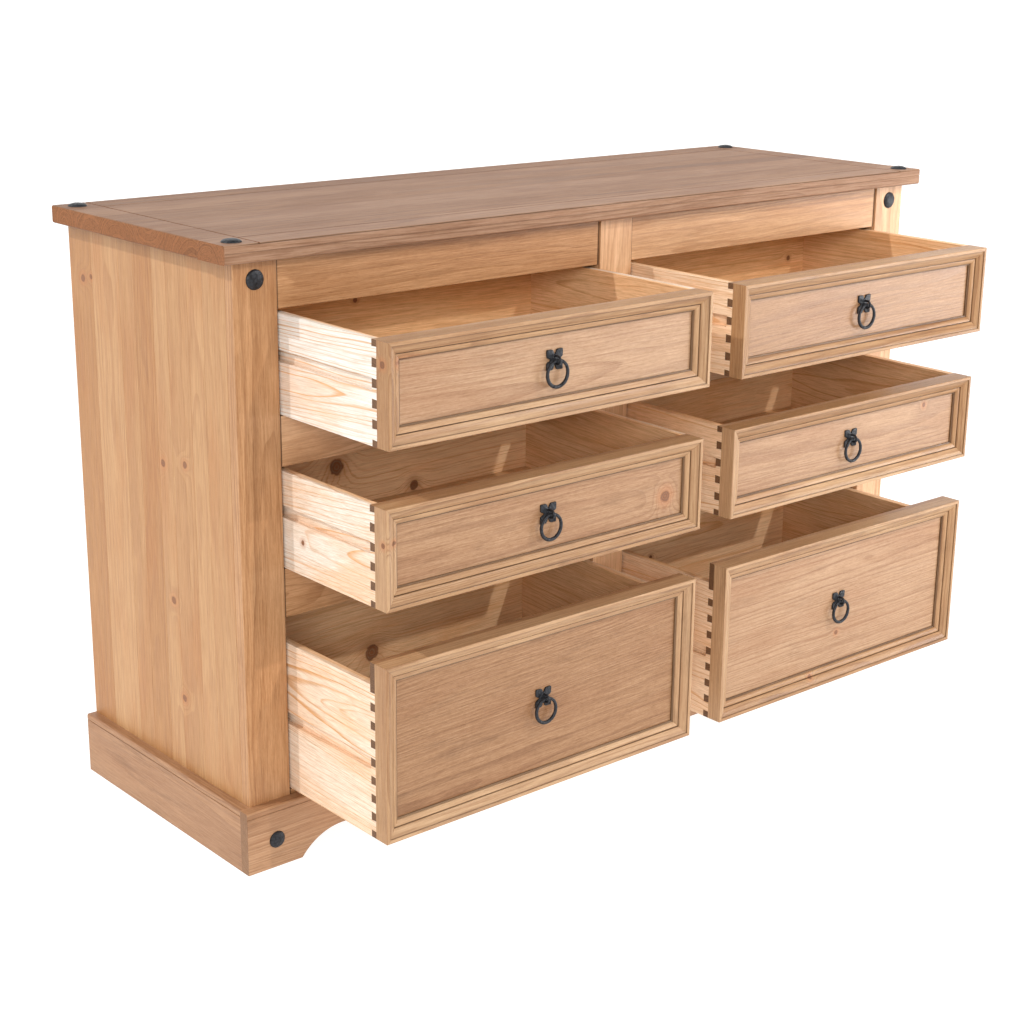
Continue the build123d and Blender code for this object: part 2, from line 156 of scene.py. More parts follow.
# ---- top ---------------------------------------------------------------------------------
# Six stained pine boards glued edge to edge. All edges are rounded, a quirk runs along the
# front edge, and lines scored 50 mm inside the edges look like a frame.
TOP_BOARDS = (62.0, 81.0, 74.0, 88.0, 69.0, 61.0)
TOP_TONES = (0.0, 0.55, 0.3, 0.7, 0.45, 0.85)
TOP_ROUND, TOP_UNDER_ROUND, ROUND_STEPS = 2.5, 3.5, 5
SCORE_INSET, SCORE_W, SCORE_D = 50.0, 2.0, 1.6
QUIRK_DROP, QUIRK_W, QUIRK_D = 10.5, 1.4, 1.0
GLUE_LINE, OVERRUN = 0.06, 5.0
SHARP_EDGE = 0.6
WANDER_ACROSS, WANDER_DEEP, SWELL_ACROSS, SWELL_DEEP, UNEVEN = 26.0, 17.0, 6.0, 5.0, 5.5
GRAIN_RELIEF = 0.16
KNOT_ALONG, KNOT_EDGE, KNOT_REACH, KNOT_BEND, KNOT_RINGS = 0.12, 0.7, 0.16, 1.9, 17.0
KNOT_RED, KNOT_HEART = (0.33, 0.12, 0.042), (0.1, 0.036, 0.016)
AXES = "xyz"


def limits(node):
    """The low and high limit of a node on each axis."""
    low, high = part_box(node)
    return [(a / MM, b / MM) for a, b in zip(low, high)]


def prism(outline, axis, span):
    """A closed mesh: an outline across one axis, run between two limits along it."""
    mesh = bmesh.new()
    place = AXES.index(axis)
    rings = []
    for level in span:
        ring = []
        for point in outline:
            corner = list(point)
            corner.insert(place, level)
            ring.append(mesh.verts.new(corner))
        rings.append(ring)
    mesh.faces.new(rings[0])
    mesh.faces.new(reversed(rings[1]))
    for n in range(len(outline)):
        mesh.faces.new((rings[0][n], rings[0][n - 1], rings[1][n - 1], rings[1][n]))
    bmesh.ops.recalc_face_normals(mesh, faces=mesh.faces)
    return mesh


def block(x, y, z):
    """A square-edged board between three pairs of limits."""
    return prism([(y[0], z[0]), (y[1], z[0]), (y[1], z[1]), (y[0], z[1])], "x", x)


def eased(mesh, width=0.7, segments=2, where=None):
    """Round the outward edges, or those of them that pass a test on their middle."""
    edges = []
    for edge in mesh.edges:
        outward = (edge.is_manifold and edge.is_convex
                   and edge.calc_face_angle(0.0) > SHARP_EDGE)
        middle = (edge.verts[0].co + edge.verts[1].co) / 2
        if outward and (where is None or where(middle)):
            edges.append(edge)
    bmesh.ops.bevel(mesh, geom=edges, offset=width, segments=segments, profile=0.5,
                    affect="EDGES", clamp_overlap=True)
    return mesh


def as_object(meshes):
    """One scene object from several meshes, for a modifier to work on."""
    data = bpy.data.meshes.new("work")
    whole = bmesh.new()
    for mesh in meshes:
        part = bpy.data.meshes.new("part")
        mesh.to_mesh(part)
        whole.from_mesh(part)
        bpy.data.meshes.remove(part)
    whole.to_mesh(data)
    whole.free()
    made = bpy.data.objects.new("work", data)
    bpy.context.scene.collection.objects.link(made)
    return made


def discard(made):
    """Remove a working object with its mesh."""
    data = made.data
    bpy.data.objects.remove(made)
    bpy.data.meshes.remove(data)


def cut(mesh, tools):
    """Take solid tools out of a mesh."""
    target, tool = as_object([mesh]), as_object(tools)
    modifier = target.modifiers.new("cut", "BOOLEAN")
    modifier.operation, modifier.solver, modifier.object = "DIFFERENCE", "EXACT", tool
    modifier.use_self = True
    result = bmesh.new()
    result.from_object(target, bpy.context.evaluated_depsgraph_get())
    discard(target)
    discard(tool)
    return result


def lay(mesh, along, seed, pith=(45.0, 90.0), lean=0.02, wax=None, tone=None):
    """Give a board its place in a log: how far along, and how far out from the pith.

    The pith lies between the two distances in pith from the board's middle, on a side that
    the seed picks, and leans away from the board's length. A tone is a number or depends on
    the place; the seed picks it if none is given.
    """
    pick = random.Random(seed)
    place = AXES.index(along)
    points = [v.co for v in mesh.verts]
    middle = [(min(p[n] for p in points) + max(p[n] for p in points)) / 2 for n in range(3)]
    across = [n for n in range(3) if n != place]
    spans = [max(p[n] for p in points) - min(p[n] for p in points) for n in across]
    if spans[0] < spans[1]:
        across.reverse()
    away = pick.uniform(*pith) * pick.choice((-1, 1))
    aside = pick.uniform(-0.42, 0.42) * max(spans)
    slopes = pick.uniform(-lean, lean), pick.uniform(-lean, lean)
    start = pick.uniform(0, 40000)
    tint = pick.random() if tone is None else tone
    shade_at = tint if callable(tint) else lambda at: tint
    grain = mesh.verts.layers.float_vector.new("grain")
    axis = mesh.verts.layers.float_vector.new("axis")
    shade = mesh.verts.layers.float.new("tone")
    # This layer holds darkening: dark wax and painted shade in creases, and painted shadow at the
    # rails' ends.
    wax_and_shade_layer = mesh.verts.layers.float.new("wax")
    for vert in mesh.verts:
        run = vert.co[place] - middle[place]
        vert[grain] = (start + run, vert.co[across[0]] - middle[across[0]] + aside + slopes[0] * run,
                       vert.co[across[1]] - middle[across[1]] + away + slopes[1] * run)
        vert[axis] = [1.0 if n == place else 0.0 for n in range(3)]
        vert[shade] = shade_at(vert.co)
        vert[wax_and_shade_layer] = wax(vert.co) if wax else 0.0
    return mesh


def piece(name, parts, material, body, nodes, crease=50):
    """Join laid boards into one piece in metres that rides on a body for some nodes."""
    corners, faces = [], []
    values = {"grain": [], "axis": [], "tone": [], "wax": []}
    for part in parts:
        base = len(corners)
        part.verts.index_update()
        layers = part.verts.layers
        sources = {"grain": layers.float_vector["grain"], "axis": layers.float_vector["axis"],
                   "tone": layers.float["tone"], "wax": layers.float["wax"]}
        for vert in part.verts:
            corners.append(vert.co * MM)
            for key, source in sources.items():
                value = vert[source]
                values[key].extend(value if key in ("grain", "axis") else (value,))
        faces += [[base + vert.index for vert in face.verts] for face in part.faces]
        part.free()
    data = bpy.data.meshes.new(name)
    data.from_pydata(corners, [], faces)
    for key, numbers in values.items():
        vector = key in ("grain", "axis")
        layer = data.attributes.new(key, "FLOAT_VECTOR" if vector else "FLOAT", "POINT")
        layer.data.foreach_set("vector" if vector else "value", numbers)
    data.materials.append(material)
    data.shade_smooth()
    data.set_sharp_from_angle(angle=math.radians(crease))
    rough = bpy.data.objects.new(name + "_work", data)
    bpy.context.scene.collection.objects.link(rough)
    normals = rough.modifiers.new("normals", "WEIGHTED_NORMAL")
    normals.keep_sharp = True
    graph = bpy.context.evaluated_depsgraph_get()
    final = bpy.data.meshes.new_from_object(rough.evaluated_get(graph),
                                            preserve_all_data_layers=True, depsgraph=graph)
    final.name = name
    discard(rough)
    made = bpy.data.objects.new(name, final)
    bpy.context.scene.collection.objects.link(made)
    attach(made, body)
    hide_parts(*nodes)
    return made


class Value:
    """An output socket of a shader tree that takes part in sums."""

    def __init__(self, graph, socket):
        self.graph, self.socket = graph, socket

    def __add__(self, other):
        return self.graph.sum("ADD", self, other)

    def __radd__(self, other):
        return self.graph.sum("ADD", other, self)

    def __sub__(self, other):
        return self.graph.sum("SUBTRACT", self, other)

    def __rsub__(self, other):
        return self.graph.sum("SUBTRACT", other, self)

    def __mul__(self, other):
        return self.graph.sum("MULTIPLY", self, other)

    def __rmul__(self, other):
        return self.graph.sum("MULTIPLY", other, self)

    def __truediv__(self, other):
        return self.graph.sum("DIVIDE", self, other)

    def __rtruediv__(self, other):
        return self.graph.sum("DIVIDE", other, self)

    def __pow__(self, other):
        return self.graph.sum("POWER", self, other)


class Graph:
    """The node tree of one material."""

    def __init__(self, name):
        self.material = bpy.data.materials.new(name)
        self.material.use_nodes = True
        self.tree = self.material.node_tree
        self.tree.nodes.clear()

    def node(self, kind, settings=None, inputs=None, out=0):
        """Make a node: its settings, then its input values and links; gives one output."""
        made = self.tree.nodes.new(kind)
        for key, value in (settings or {}).items():
            setattr(made, key, value)
        for key, value in (inputs or {}).items():
            if isinstance(value, Value):
                self.tree.links.new(value.socket, made.inputs[key])
            else:
                made.inputs[key].default_value = value
        return Value(self, made.outputs[out])

    def sum(self, operation, first, second=0.0):
        """One step of arithmetic."""
        return self.node("ShaderNodeMath", {"operation": operation}, {0: first, 1: second})

    def vector(self, operation, first, second):
        """One step of vector arithmetic that gives a vector."""
        return self.node("ShaderNodeVectorMath", {"operation": operation}, {0: first, 1: second})

    def parts(self, vector):
        """The three components of a vector."""
        made = self.node("ShaderNodeSeparateXYZ", None, {0: vector})
        return [Value(self, socket) for socket in made.socket.node.outputs]

    def joined(self, x, y, z):
        """A vector from three numbers."""
        return self.node("ShaderNodeCombineXYZ", None, {0: x, 1: y, 2: z})

    def noise(self, place, scale=1.0, detail=2.0, roughness=0.5):
        """Soft noise about a half."""
        return self.node("ShaderNodeTexNoise", None, {"Vector": place, "Scale": scale,
                         "Detail": detail, "Roughness": roughness}, "Fac")

    def step(self, value, start, end):
        """A smooth rise from nothing to one between two values."""
        return self.node("ShaderNodeMapRange", {"interpolation_type": "SMOOTHSTEP"},
                         {"Value": value, "From Min": start, "From Max": end})

    def mix(self, factor, first, second):
        """A blend of two colours."""
        return self.node("ShaderNodeMix", {"data_type": "RGBA"},
                         {0: factor, 6: first, 7: second}, 2)

    def attribute(self, name, out):
        """A value stored on the mesh."""
        return self.node("ShaderNodeAttribute", {"attribute_name": name}, None, out)

    def finish(self, colour, roughness, height, depth, constants):
        """Principled surface with a bump from a height, and the values that don't vary."""
        bump = self.node("ShaderNodeBump", None, {"Height": height, "Distance": depth})
        inputs = {"Base Color": colour, "Roughness": roughness, "Normal": bump, **constants}
        surface = self.node("ShaderNodeBsdfPrincipled", None, inputs)
        output = self.tree.nodes.new("ShaderNodeOutputMaterial")
        self.tree.links.new(surface.socket, output.inputs["Surface"])
        return self.material


def tinted(colour, by=1.0):
    """A colour with its alpha, made lighter or darker."""
    return tuple(c * by for c in colour) + (1.0,)


def wood(name, pale, dark, ring=4.2, figure=0.75, line=0.5, warm=None, end=0.55, knots=(),
         rough=0.5, tone_span=0.3, streak=0.25, lay_axis=None, coat=0.06, blotch=0.1,
         mottle=0.1, shine=0.35, tint=0.42, end_pale=None, knot=0.85):
    """Pine as a slice of a log: rings about a pith, fibres, knots and darker end grain.

    line is how sharply the dark part of a ring stands out; warm is the colour that boards of
    a high tone lean to, by tint. A knot is a place, a radius and the axis that it runs along,
    and knot is how dark they are.
    """
    g = Graph(name)
    here = g.vector("MULTIPLY", g.node("ShaderNodeTexCoord", None, None, "Object"),
                    (1 / MM, 1 / MM, 1 / MM))
    facing = g.node("ShaderNodeTexCoord", None, None, "Normal")
    if lay_axis is None:
        grain, axis = g.attribute("grain", "Vector"), g.attribute("axis", "Vector")
        tone = g.attribute("tone", "Fac")
    else:
        spread = g.parts(here)
        spread.insert(0, spread.pop(AXES.index(lay_axis)))
        grain = g.joined(spread[0], spread[1] * 0.7 + 31.0, spread[2] * 0.7 + 48.0)
        axis = tuple(1.0 if letter == lay_axis else 0.0 for letter in AXES)
        tone = g.noise(g.joined(spread[0] * 0.0005, spread[1] * 0.02, spread[2] * 0.02))
    along, across, depth = g.parts(grain)

    bend, core, halo, burst = 0.0, 0.0, 0.0, 0.0
    for place, radius, through in knots:
        stretch = [1.0 / radius] * 3
        stretch[AXES.index(through)] = KNOT_ALONG / radius
        offset = g.vector("MULTIPLY", g.vector("SUBTRACT", here, place), tuple(stretch))
        away = g.node("ShaderNodeVectorMath", {"operation": "LENGTH"}, {0: offset}, "Value")
        away = away + (g.noise(here, 0.09) - 0.5) * KNOT_EDGE
        near = g.sum("EXPONENT", away * away * -KNOT_REACH)
        bend = bend + near * radius * KNOT_BEND
        core = core + (1.0 - g.step(away, 0.75, 1.05))
        halo = halo + (1.0 - g.step(away, 0.9, 2.6))
        burst = burst + g.sum("SINE", away * KNOT_RINGS) * 0.5 * (1.0 - g.step(away, 0.6, 1.3))

    def drawn(run, cross):
        """The place in the log, scaled by one number along the fibres and one across."""
        return g.joined(along * run, across * cross, depth * cross)

    sway = g.noise(drawn(0.0022, 0.016)) - 0.5
    swell = g.noise(drawn(0.006, 0.03)) - 0.5
    y = across + sway * WANDER_ACROSS + swell * SWELL_ACROSS
    z = depth - sway * WANDER_DEEP + swell * SWELL_DEEP
    radius = g.sum("SQRT", y * y + z * z) + bend
    uneven = g.noise(g.joined(radius * 0.055, 0.0, along * 0.0006)) - 0.5
    turns = (radius + uneven * ring * UNEVEN) / ring
    phase = g.sum("FRACT", turns)
    rise = g.step(phase, 0.92 - 0.8 * (1.0 - line), 0.93)
    late = rise * (1.0 - g.step(phase, 0.94, 1.0))
    strength = g.step(g.noise(g.joined(turns * 0.35, along * 0.0008, 3.0)), 0.3, 0.7)

    fibre = g.noise(drawn(0.045, 1.6), 1.0, 3.0, 0.6)
    thread = g.noise(drawn(0.012, 0.32), 1.0, 3.0, 0.55)
    cloud = g.noise(drawn(0.0045, 0.021), 1.0, 3.0)

    ground = g.mix(g.step(tone, 0.35, 0.95) * tint, tinted(pale), tinted(warm or pale))
    colour = g.mix(late * (0.35 + 0.65 * strength) * figure, ground, tinted(dark))
    colour = g.mix(g.step(thread, 0.45, 0.78) * streak * 2.0, colour, tinted(dark, 1.12))
    colour = g.mix(g.step(fibre, 0.5, 0.85) * 0.3, colour, tinted(dark, 0.8))
    colour = g.mix(g.step(cloud, 0.42, 0.72) * 0.5, colour, tinted(dark, 1.25))
    stain = g.noise(g.joined(along * 0.009 + 50.0, across * 0.055, depth * 0.055), 1.0, 5.0, 0.65)
    colour = g.mix(g.step(stain, 0.52, 0.74) * blotch, colour, tinted(dark, 0.62))
    speck = g.noise(drawn(0.13, 0.4), 1.0, 4.0, 0.7)
    line_grain = g.noise(drawn(0.02, 0.75), 1.0, 3.0, 0.65)
    dash = g.noise(drawn(0.05, 1.1), 1.0, 2.0, 0.6)
    level = (1.0 - tone_span * (tone - 0.5) * 1.6 + (fibre - 0.5) * 0.2 + (thread - 0.5) * 0.35
             + (line_grain - 0.5) + (speck - 0.5) * mottle - g.step(dash, 0.56, 0.68) * 0.14)
    colour = g.vector("MULTIPLY", colour, g.joined(level ** 0.75, level, level ** 1.35))
    if knots:
        colour = g.mix(halo * 0.45 * knot, colour, tinted(KNOT_RED, 1.35))
        colour = g.mix(g.sum("MINIMUM", core, 1.0) * (knot + burst * 0.3), colour,
                       g.mix(g.step(burst, -0.2, 0.5), tinted(KNOT_HEART),
                             tinted(KNOT_RED, 0.8)))
    turned = g.node("ShaderNodeVectorMath", {"operation": "DOT_PRODUCT"}, {0: facing, 1: axis},
                    "Value")
    cross = g.step(g.sum("ABSOLUTE", turned), 0.55, 0.85)
    sawn = end_pale or tinted(dark, 0.62)[:3]
    fine = g.step(g.sum("FRACT", turns * 2.0), 0.3, 0.95) * 0.5 + g.step(speck, 0.42, 0.68) * 0.5
    colour = g.mix(cross * end, colour, g.mix(fine, tinted(sawn), tinted(sawn, 0.42)))
    # Darkens where the mesh says: dark wax and painted shade in creases, painted shadow at rail ends.
    if lay_axis is None:
        wax_and_shade_mask = g.sum("MINIMUM", g.attribute("wax", "Fac"), 1.0)
        colour = g.mix(wax_and_shade_mask * (0.55 + 0.5 * cloud), colour, tinted(dark, 0.2))

    roughness = rough + (fibre - 0.5) * 0.2 - late * 0.06 + cross * 0.15
    height = late * 0.5 + fibre * 0.8 + thread * 0.6
    return g.finish(colour, roughness, height, GRAIN_RELIEF * MM,
                    {"Specular IOR Level": shine, "Coat Weight": coat, "Coat Roughness": 0.35})


def score_wax_and_shade(at):
    """Darkening in the scored lines: dark stain and painted shade."""
    half_x, half_y = top_x[1] - SCORE_INSET, top_y[1] - SCORE_INSET
    scored = min(abs(abs(at.x) - half_x), abs(abs(at.y) - half_y)) < SCORE_W
    return 1.0 if scored and at.z < top_z[1] - SCORE_D / 2 else 0.0


def top_outline(low, high):
    """The section of one top board, rounded and quirked where it is an outer one."""
    z = top_z
    points = []

    def corner(y, level, radius, start):
        """The points of a quarter round."""
        for n in range(ROUND_STEPS + 1):
            angle = math.radians(start + 90 / ROUND_STEPS * n)
            points.append((y + radius * math.cos(angle), level + radius * math.sin(angle)))

    if high == top_y[1]:
        corner(high - TOP_UNDER_ROUND, z[0] + TOP_UNDER_ROUND, TOP_UNDER_ROUND, -90)
        corner(high - TOP_ROUND, z[1] - TOP_ROUND, TOP_ROUND, 0)
    else:
        points += [(high, z[0]), (high, z[1])]
    if low == top_y[0]:
        corner(low + TOP_ROUND, z[1] - TOP_ROUND, TOP_ROUND, 90)
        middle = z[1] - QUIRK_DROP
        points.extend([(low, middle + QUIRK_W / 2), (low + QUIRK_D, middle + QUIRK_W * 0.3),
                       (low + QUIRK_D, middle - QUIRK_W * 0.3), (low, middle - QUIRK_W / 2)])
        corner(low + TOP_UNDER_ROUND, z[0] + TOP_UNDER_ROUND, TOP_UNDER_ROUND, 180)
    else:
        points += [(low, z[1]), (low, z[0])]
    return points


top_x, top_y, top_z = limits("top_panel")
stained_pine = wood("stained_pine", (0.315, 0.18, 0.108), (0.15, 0.068, 0.033), ring=5.5,
                    figure=0.7, line=0.35, warm=(0.28, 0.145, 0.075), end=0.9, rough=0.55,
                    tone_span=0.22, streak=0.5, coat=0.02, mottle=0.35, shine=0.14,
                    end_pale=(0.3, 0.12, 0.048))
scores = []
for side in (-1, 1):
    x, y = side * (top_x[1] - SCORE_INSET), side * (top_y[1] - SCORE_INSET)
    half, floor_z = SCORE_W / 2, top_z[1] - SCORE_D
    scores.append(block((x - half, x + half), (top_y[0] - 2, top_y[1] + 2), (floor_z, top_z[1] + 2)))
    scores.append(block((-top_x[1] + SCORE_INSET, top_x[1] - SCORE_INSET), (y - half, y + half),
                        (floor_z, top_z[1] + 2)))
boards, edge = [], top_y[0]
for number, width in enumerate(TOP_BOARDS):
    low, high = edge, edge + width
    edge = high
    outline = top_outline(low if number == 0 else low + GLUE_LINE,
                          high if number == len(TOP_BOARDS) - 1 else high - GLUE_LINE)
    board = prism(outline, "x", top_x)
    eased(board, TOP_ROUND, 3, lambda p: abs(p.x) > top_x[1] - 0.1 and p.z > top_z[1] - 0.1)
    eased(board, TOP_UNDER_ROUND, 3, lambda p: abs(p.x) > top_x[1] - 0.1 and p.z < top_z[0] + 0.1)
    board = cut(board, scores)
    boards.append(lay(board, "x", f"top{number}", (12.0, 46.0), 0.012, score_wax_and_shade, TOP_TONES[number]))
piece("top_boards", boards, stained_pine, "carcass", ["top_panel"])


# ---- sides -------------------------------------------------------------------------------
# Each side is a panel of narrow upright boards glued edge to edge, waxed the colour of honey,
# with a rebate at the back for the back panel. The boards differ a little in tone.
SIDE_BOARDS = (("a", 53.5, 0.45), ("b", 36.0, 0.2), ("c", 52.0, 0.55), ("d", 35.5, 0.3),
               ("e", 46.5, 0.95), ("f", 39.0, 0.6), ("g", 73.0, 0.0), ("h", 60.0, 1.0))
SIDE_KNOTS = (((-639.5, 178.5, 739.0), 6.0, "x"), ((-639.5, 156.0, 744.0), 4.0, "x"),
              ((-639.5, -14.5, 520.0), 6.0, "x"), ((-639.5, -70.5, 529.0), 5.0, "x"),
              ((-639.5, -27.5, 331.0), 6.0, "x"), ((-639.5, -44.5, 194.0), 6.0, "x"))
SIDE_EASE = 0.35
HONEY_PALE, HONEY_DARK, HONEY_WARM = (0.46, 0.255, 0.115), (0.31, 0.13, 0.043), (0.4, 0.18, 0.06)
side_pine = wood("side_pine", HONEY_PALE, HONEY_DARK, ring=4.0, figure=0.5, line=0.3,
                 warm=HONEY_WARM, rough=0.48, tone_span=0.1, streak=0.17, blotch=0.07,
                 knots=SIDE_KNOTS, knot=0.78)
back_x, back_y, back_z = limits("back_panel")
for hand in ("left", "right"):
    x, y, z = limits(f"side_panel_{hand}")
    boards, edge = [], y[0]
    for letter, width, tone in SIDE_BOARDS:
        low, high = edge, min(edge + width, y[1])
        edge = high
        board = block(x, (low + GLUE_LINE, high - GLUE_LINE), z)
        if high > back_y[0]:
            board = cut(board, [block(back_x, (back_y[0], y[1] + OVERRUN),
                                      (back_z[0], z[1] + OVERRUN))])
        eased(board, SIDE_EASE)
        boards.append(lay(board, "z", f"{hand}_side_{letter}", lean=0.01, tone=tone))
    piece(f"{hand}_side_boards", boards, side_pine, "carcass", [f"side_panel_{hand}"])


# ---- face frame --------------------------------------------------------------------------
# Three upright stiles and, a little behind their faces, the rails between the drawers. The
# rails' stub tenons and the stiles' mortises are not drawn. The rails are waxed pine boards
# with their grain lengthwise.
# The last two values size the painted shadow line at each rail's ends.
STILE_EASE, RAIL_EASE, JOINT_SHADOW_W, JOINT_SHADOW_FADE = 0.9, 0.8, 2.8, 0.7
frame_pine = wood("frame_pine", (0.61, 0.36, 0.195), (0.32, 0.15, 0.06), ring=4.6, figure=0.75,
                  line=0.3, warm=(0.49, 0.25, 0.105), rough=0.48, blotch=0.25, mottle=0.3)
for name in ("front_stile_left", "front_stile_right", "centre_stile"):
    stile = eased(block(*limits(name)), STILE_EASE)
    piece(name + "_board", [lay(stile, "z", name, lean=0.008)], frame_pine, "carcass", [name])
frame_x = limits("front_stile_left")[0][1], limits("centre_stile")[0][0]


def rail_board(x, y, z):
    """A rail whose face has a narrow strip at each end for the painted shadow of the joint."""
    marks = (x[0], x[0] + JOINT_SHADOW_W, x[0] + JOINT_SHADOW_W + JOINT_SHADOW_FADE)
    marks += (x[1] - JOINT_SHADOW_W - JOINT_SHADOW_FADE, x[1] - JOINT_SHADOW_W, x[1])
    return prism([(u, y[0]) for u in marks] + [(x[1], y[1]), (x[0], y[1])], "z", z)


def joint_shadow(at):
    """Painted shadow: a dark line at a rail's ends, where the rail lies back behind a stile."""
    return 1.0 if min(abs(abs(at.x) - abs(end)) for end in frame_x) < JOINT_SHADOW_W + 0.1 else 0.0


rail_y = limits("sill_rails")[1]
drawer_rows = ("top", "middle", "bottom")
row_z = {row: limits(f"left_{row}_front")[2] for row in drawer_rows}
top_rail_z = limits("top_rails")[2]
sill_z = limits("sill_rails")[2]
RAIL_GAP_ABOVE, RAIL_GAP_BELOW = 5.0, 2.0
between_z = [(row_z["middle"][1] + RAIL_GAP_ABOVE, row_z["top"][0] - RAIL_GAP_BELOW),
             (row_z["bottom"][1] + RAIL_GAP_ABOVE, row_z["middle"][0] - RAIL_GAP_BELOW)]
for node, heights in (("top_rails", [top_rail_z]), ("drawer_rails", between_z),
                      ("sill_rails", [sill_z])):
    boards = []
    for number, z in enumerate(heights):
        for side in (-1, 1):
            x = tuple(sorted((side * frame_x[0], side * frame_x[1])))
            rail = eased(rail_board(x, rail_y, z), RAIL_EASE)
            boards.append(lay(rail, "x", f"{node}{number}{side}", lean=0.03, wax=joint_shadow))
    piece(node + "_boards", boards, frame_pine, "carcass", [node])


# ---- inside ------------------------------------------------------------------------------
# Unfinished pine: the partition between the bays, the battens that the drawers run on, the
# rear rail and the glue blocks. They keep their own shapes.
INSIDE = (("centre_partition", "z", 5.0), ("drawer_runners", "y", 3.4), ("back_rail", "x", 4.4),
          ("corner_blocks", "z", 3.6))
for node, direction, ring in INSIDE:
    raw = wood(f"raw_pine_{direction}_{node}", (0.6, 0.4, 0.22), (0.36, 0.19, 0.08), ring=ring,
               figure=0.6, line=0.4, rough=0.62, lay_axis=direction, coat=0.0)
    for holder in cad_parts[node].material_slots:
        holder.material = raw


# ---- back --------------------------------------------------------------------------------
# Thin upright boards with a chamfer along each joint, let into the rebates of the sides and
# held to the rear rail by nails that are not drawn.
BACK_BOARD_W, BACK_CHAMFER, BACK_SETBACK = 96.8, 1.6, 0.05
back_pine = wood("back_pine", (0.5, 0.3, 0.155), (0.3, 0.14, 0.06), ring=5.4, figure=0.6,
                 line=0.35, warm=(0.46, 0.24, 0.1), rough=0.58, coat=0.0)
x, y, z = limits("back_panel")
count = round((x[1] - x[0]) / BACK_BOARD_W)
pitch = (x[1] - x[0]) / count
boards = []
for number in range(count):
    low, high = x[0] + number * pitch, x[0] + (number + 1) * pitch
    near, far = y[0], y[1]
    outline = [(low + BACK_SETBACK, near + BACK_CHAMFER), (low + BACK_CHAMFER, near),
               (high - BACK_CHAMFER, near), (high - BACK_SETBACK, near + BACK_CHAMFER),
               (high - BACK_SETBACK, far - BACK_CHAMFER), (high - BACK_CHAMFER, far),
               (low + BACK_CHAMFER, far), (low + BACK_SETBACK, far - BACK_CHAMFER)]
    board = prism(outline, "z", z)
    boards.append(lay(board, "z", f"back{number}", lean=0.01))
piece("back_boards", boards, back_pine, "carcass", ["back_panel"])


# ---- plinth ------------------------------------------------------------------------------
# A front board with two shallow arches between shaped feet, over the ends of two side
# boards. The upper outer edges are rounded, with a fine quirk cut below the round.
FOOT_W, MIDDLE_FOOT_HALF, ARCH_RISE, ARCH_R, MIDDLE_GAP = 85.5, 200.0, 32.0, 84.0, 4.0
PLINTH_ROUND, PLINTH_QUIRK_DROP, PLINTH_QUIRK_W, PLINTH_QUIRK_D = 3.0, 8.5, 1.2, 1.0
ARCH_STEPS, FOOT_EASE = 14, 0.5
plinth_pine = wood("plinth_pine", (0.43, 0.245, 0.132), (0.23, 0.105, 0.045), ring=5.0,
                   figure=0.65, line=0.3, warm=(0.36, 0.17, 0.075), rough=0.48, blotch=0.35,
                   mottle=0.25)


def arch(outer, inner):
    """The upper line of an arch, from its outer foot to its inner one."""
    run = math.sqrt(ARCH_R ** 2 - (ARCH_R - ARCH_RISE) ** 2)
    full = math.asin(run / ARCH_R)
    curve = []
    for n in range(ARCH_STEPS + 1):
        angle = full * (1 - n / ARCH_STEPS)
        curve.append((run - ARCH_R * math.sin(angle), ARCH_RISE - ARCH_R * (1 - math.cos(angle))))
    return ([(outer + u, v) for u, v in curve]
            + [(inner - u, v) for u, v in reversed(curve)])


def quirk_wax_and_shade(at):
    """Darkening in the quirk of a plinth board: dark wax and painted shade."""
    drop = plinth_z[1] - at.z
    inside = at.y > plinth_y[0] + 0.3 and at.x > plinth_x[0] + 0.3
    return 1.0 if abs(drop - PLINTH_QUIRK_DROP) < PLINTH_QUIRK_W and inside else 0.0


plinth_x, plinth_y, plinth_z = limits("plinth_front")
left = arch(plinth_x[0] + FOOT_W, -MIDDLE_FOOT_HALF)
half = len(left) / 2
left = [(u, max(v, 0.0 if n < half else MIDDLE_GAP)) for n, (u, v) in enumerate(left)]
right = [(-u, v) for u, v in reversed(left)]
outline = ([(plinth_x[0], 0.0)] + left + right + [(plinth_x[1], 0.0), (plinth_x[1], plinth_z[1]),
           (plinth_x[0], plinth_z[1])])
board = prism(outline, "y", plinth_y)
eased(board, PLINTH_ROUND, 4, lambda p: p.z > plinth_z[1] - 0.1 and p.y < plinth_y[0] + 0.1)
quirk_z = plinth_z[1] - PLINTH_QUIRK_DROP
quirk = (quirk_z - PLINTH_QUIRK_W / 2, quirk_z + PLINTH_QUIRK_W / 2)
board = cut(board, [block((plinth_x[0] - OVERRUN, plinth_x[1] + OVERRUN),
                          (plinth_y[0] - OVERRUN, plinth_y[0] + PLINTH_QUIRK_D), quirk)])
eased(board, FOOT_EASE, 2, lambda p: p.z < 60 and p.y < plinth_y[0] + 0.1)
piece("plinth_front_board", [lay(board, "x", "plinth_front", lean=0.006, wax=quirk_wax_and_shade)],
      plinth_pine, "carcass", ["plinth_front"])
for hand, side in (("left", -1), ("right", 1)):
    x, y, z = limits(f"plinth_side_{hand}")
    outer = min(x) if side < 0 else max(x)
    board = block(x, y, z)
    eased(board, PLINTH_ROUND, 4, lambda p: p.z > z[1] - 0.1 and abs(p.x - outer) < 0.1)
    board = cut(board, [block(sorted((outer + side * OVERRUN, outer - side * PLINTH_QUIRK_D)),
                              (y[0] - OVERRUN, y[1] + OVERRUN), quirk)])
    piece(f"plinth_{hand}_board", [lay(board, "y", f"plinth_{hand}", lean=0.01)], plinth_pine,
          "carcass", [f"plinth_side_{hand}"])
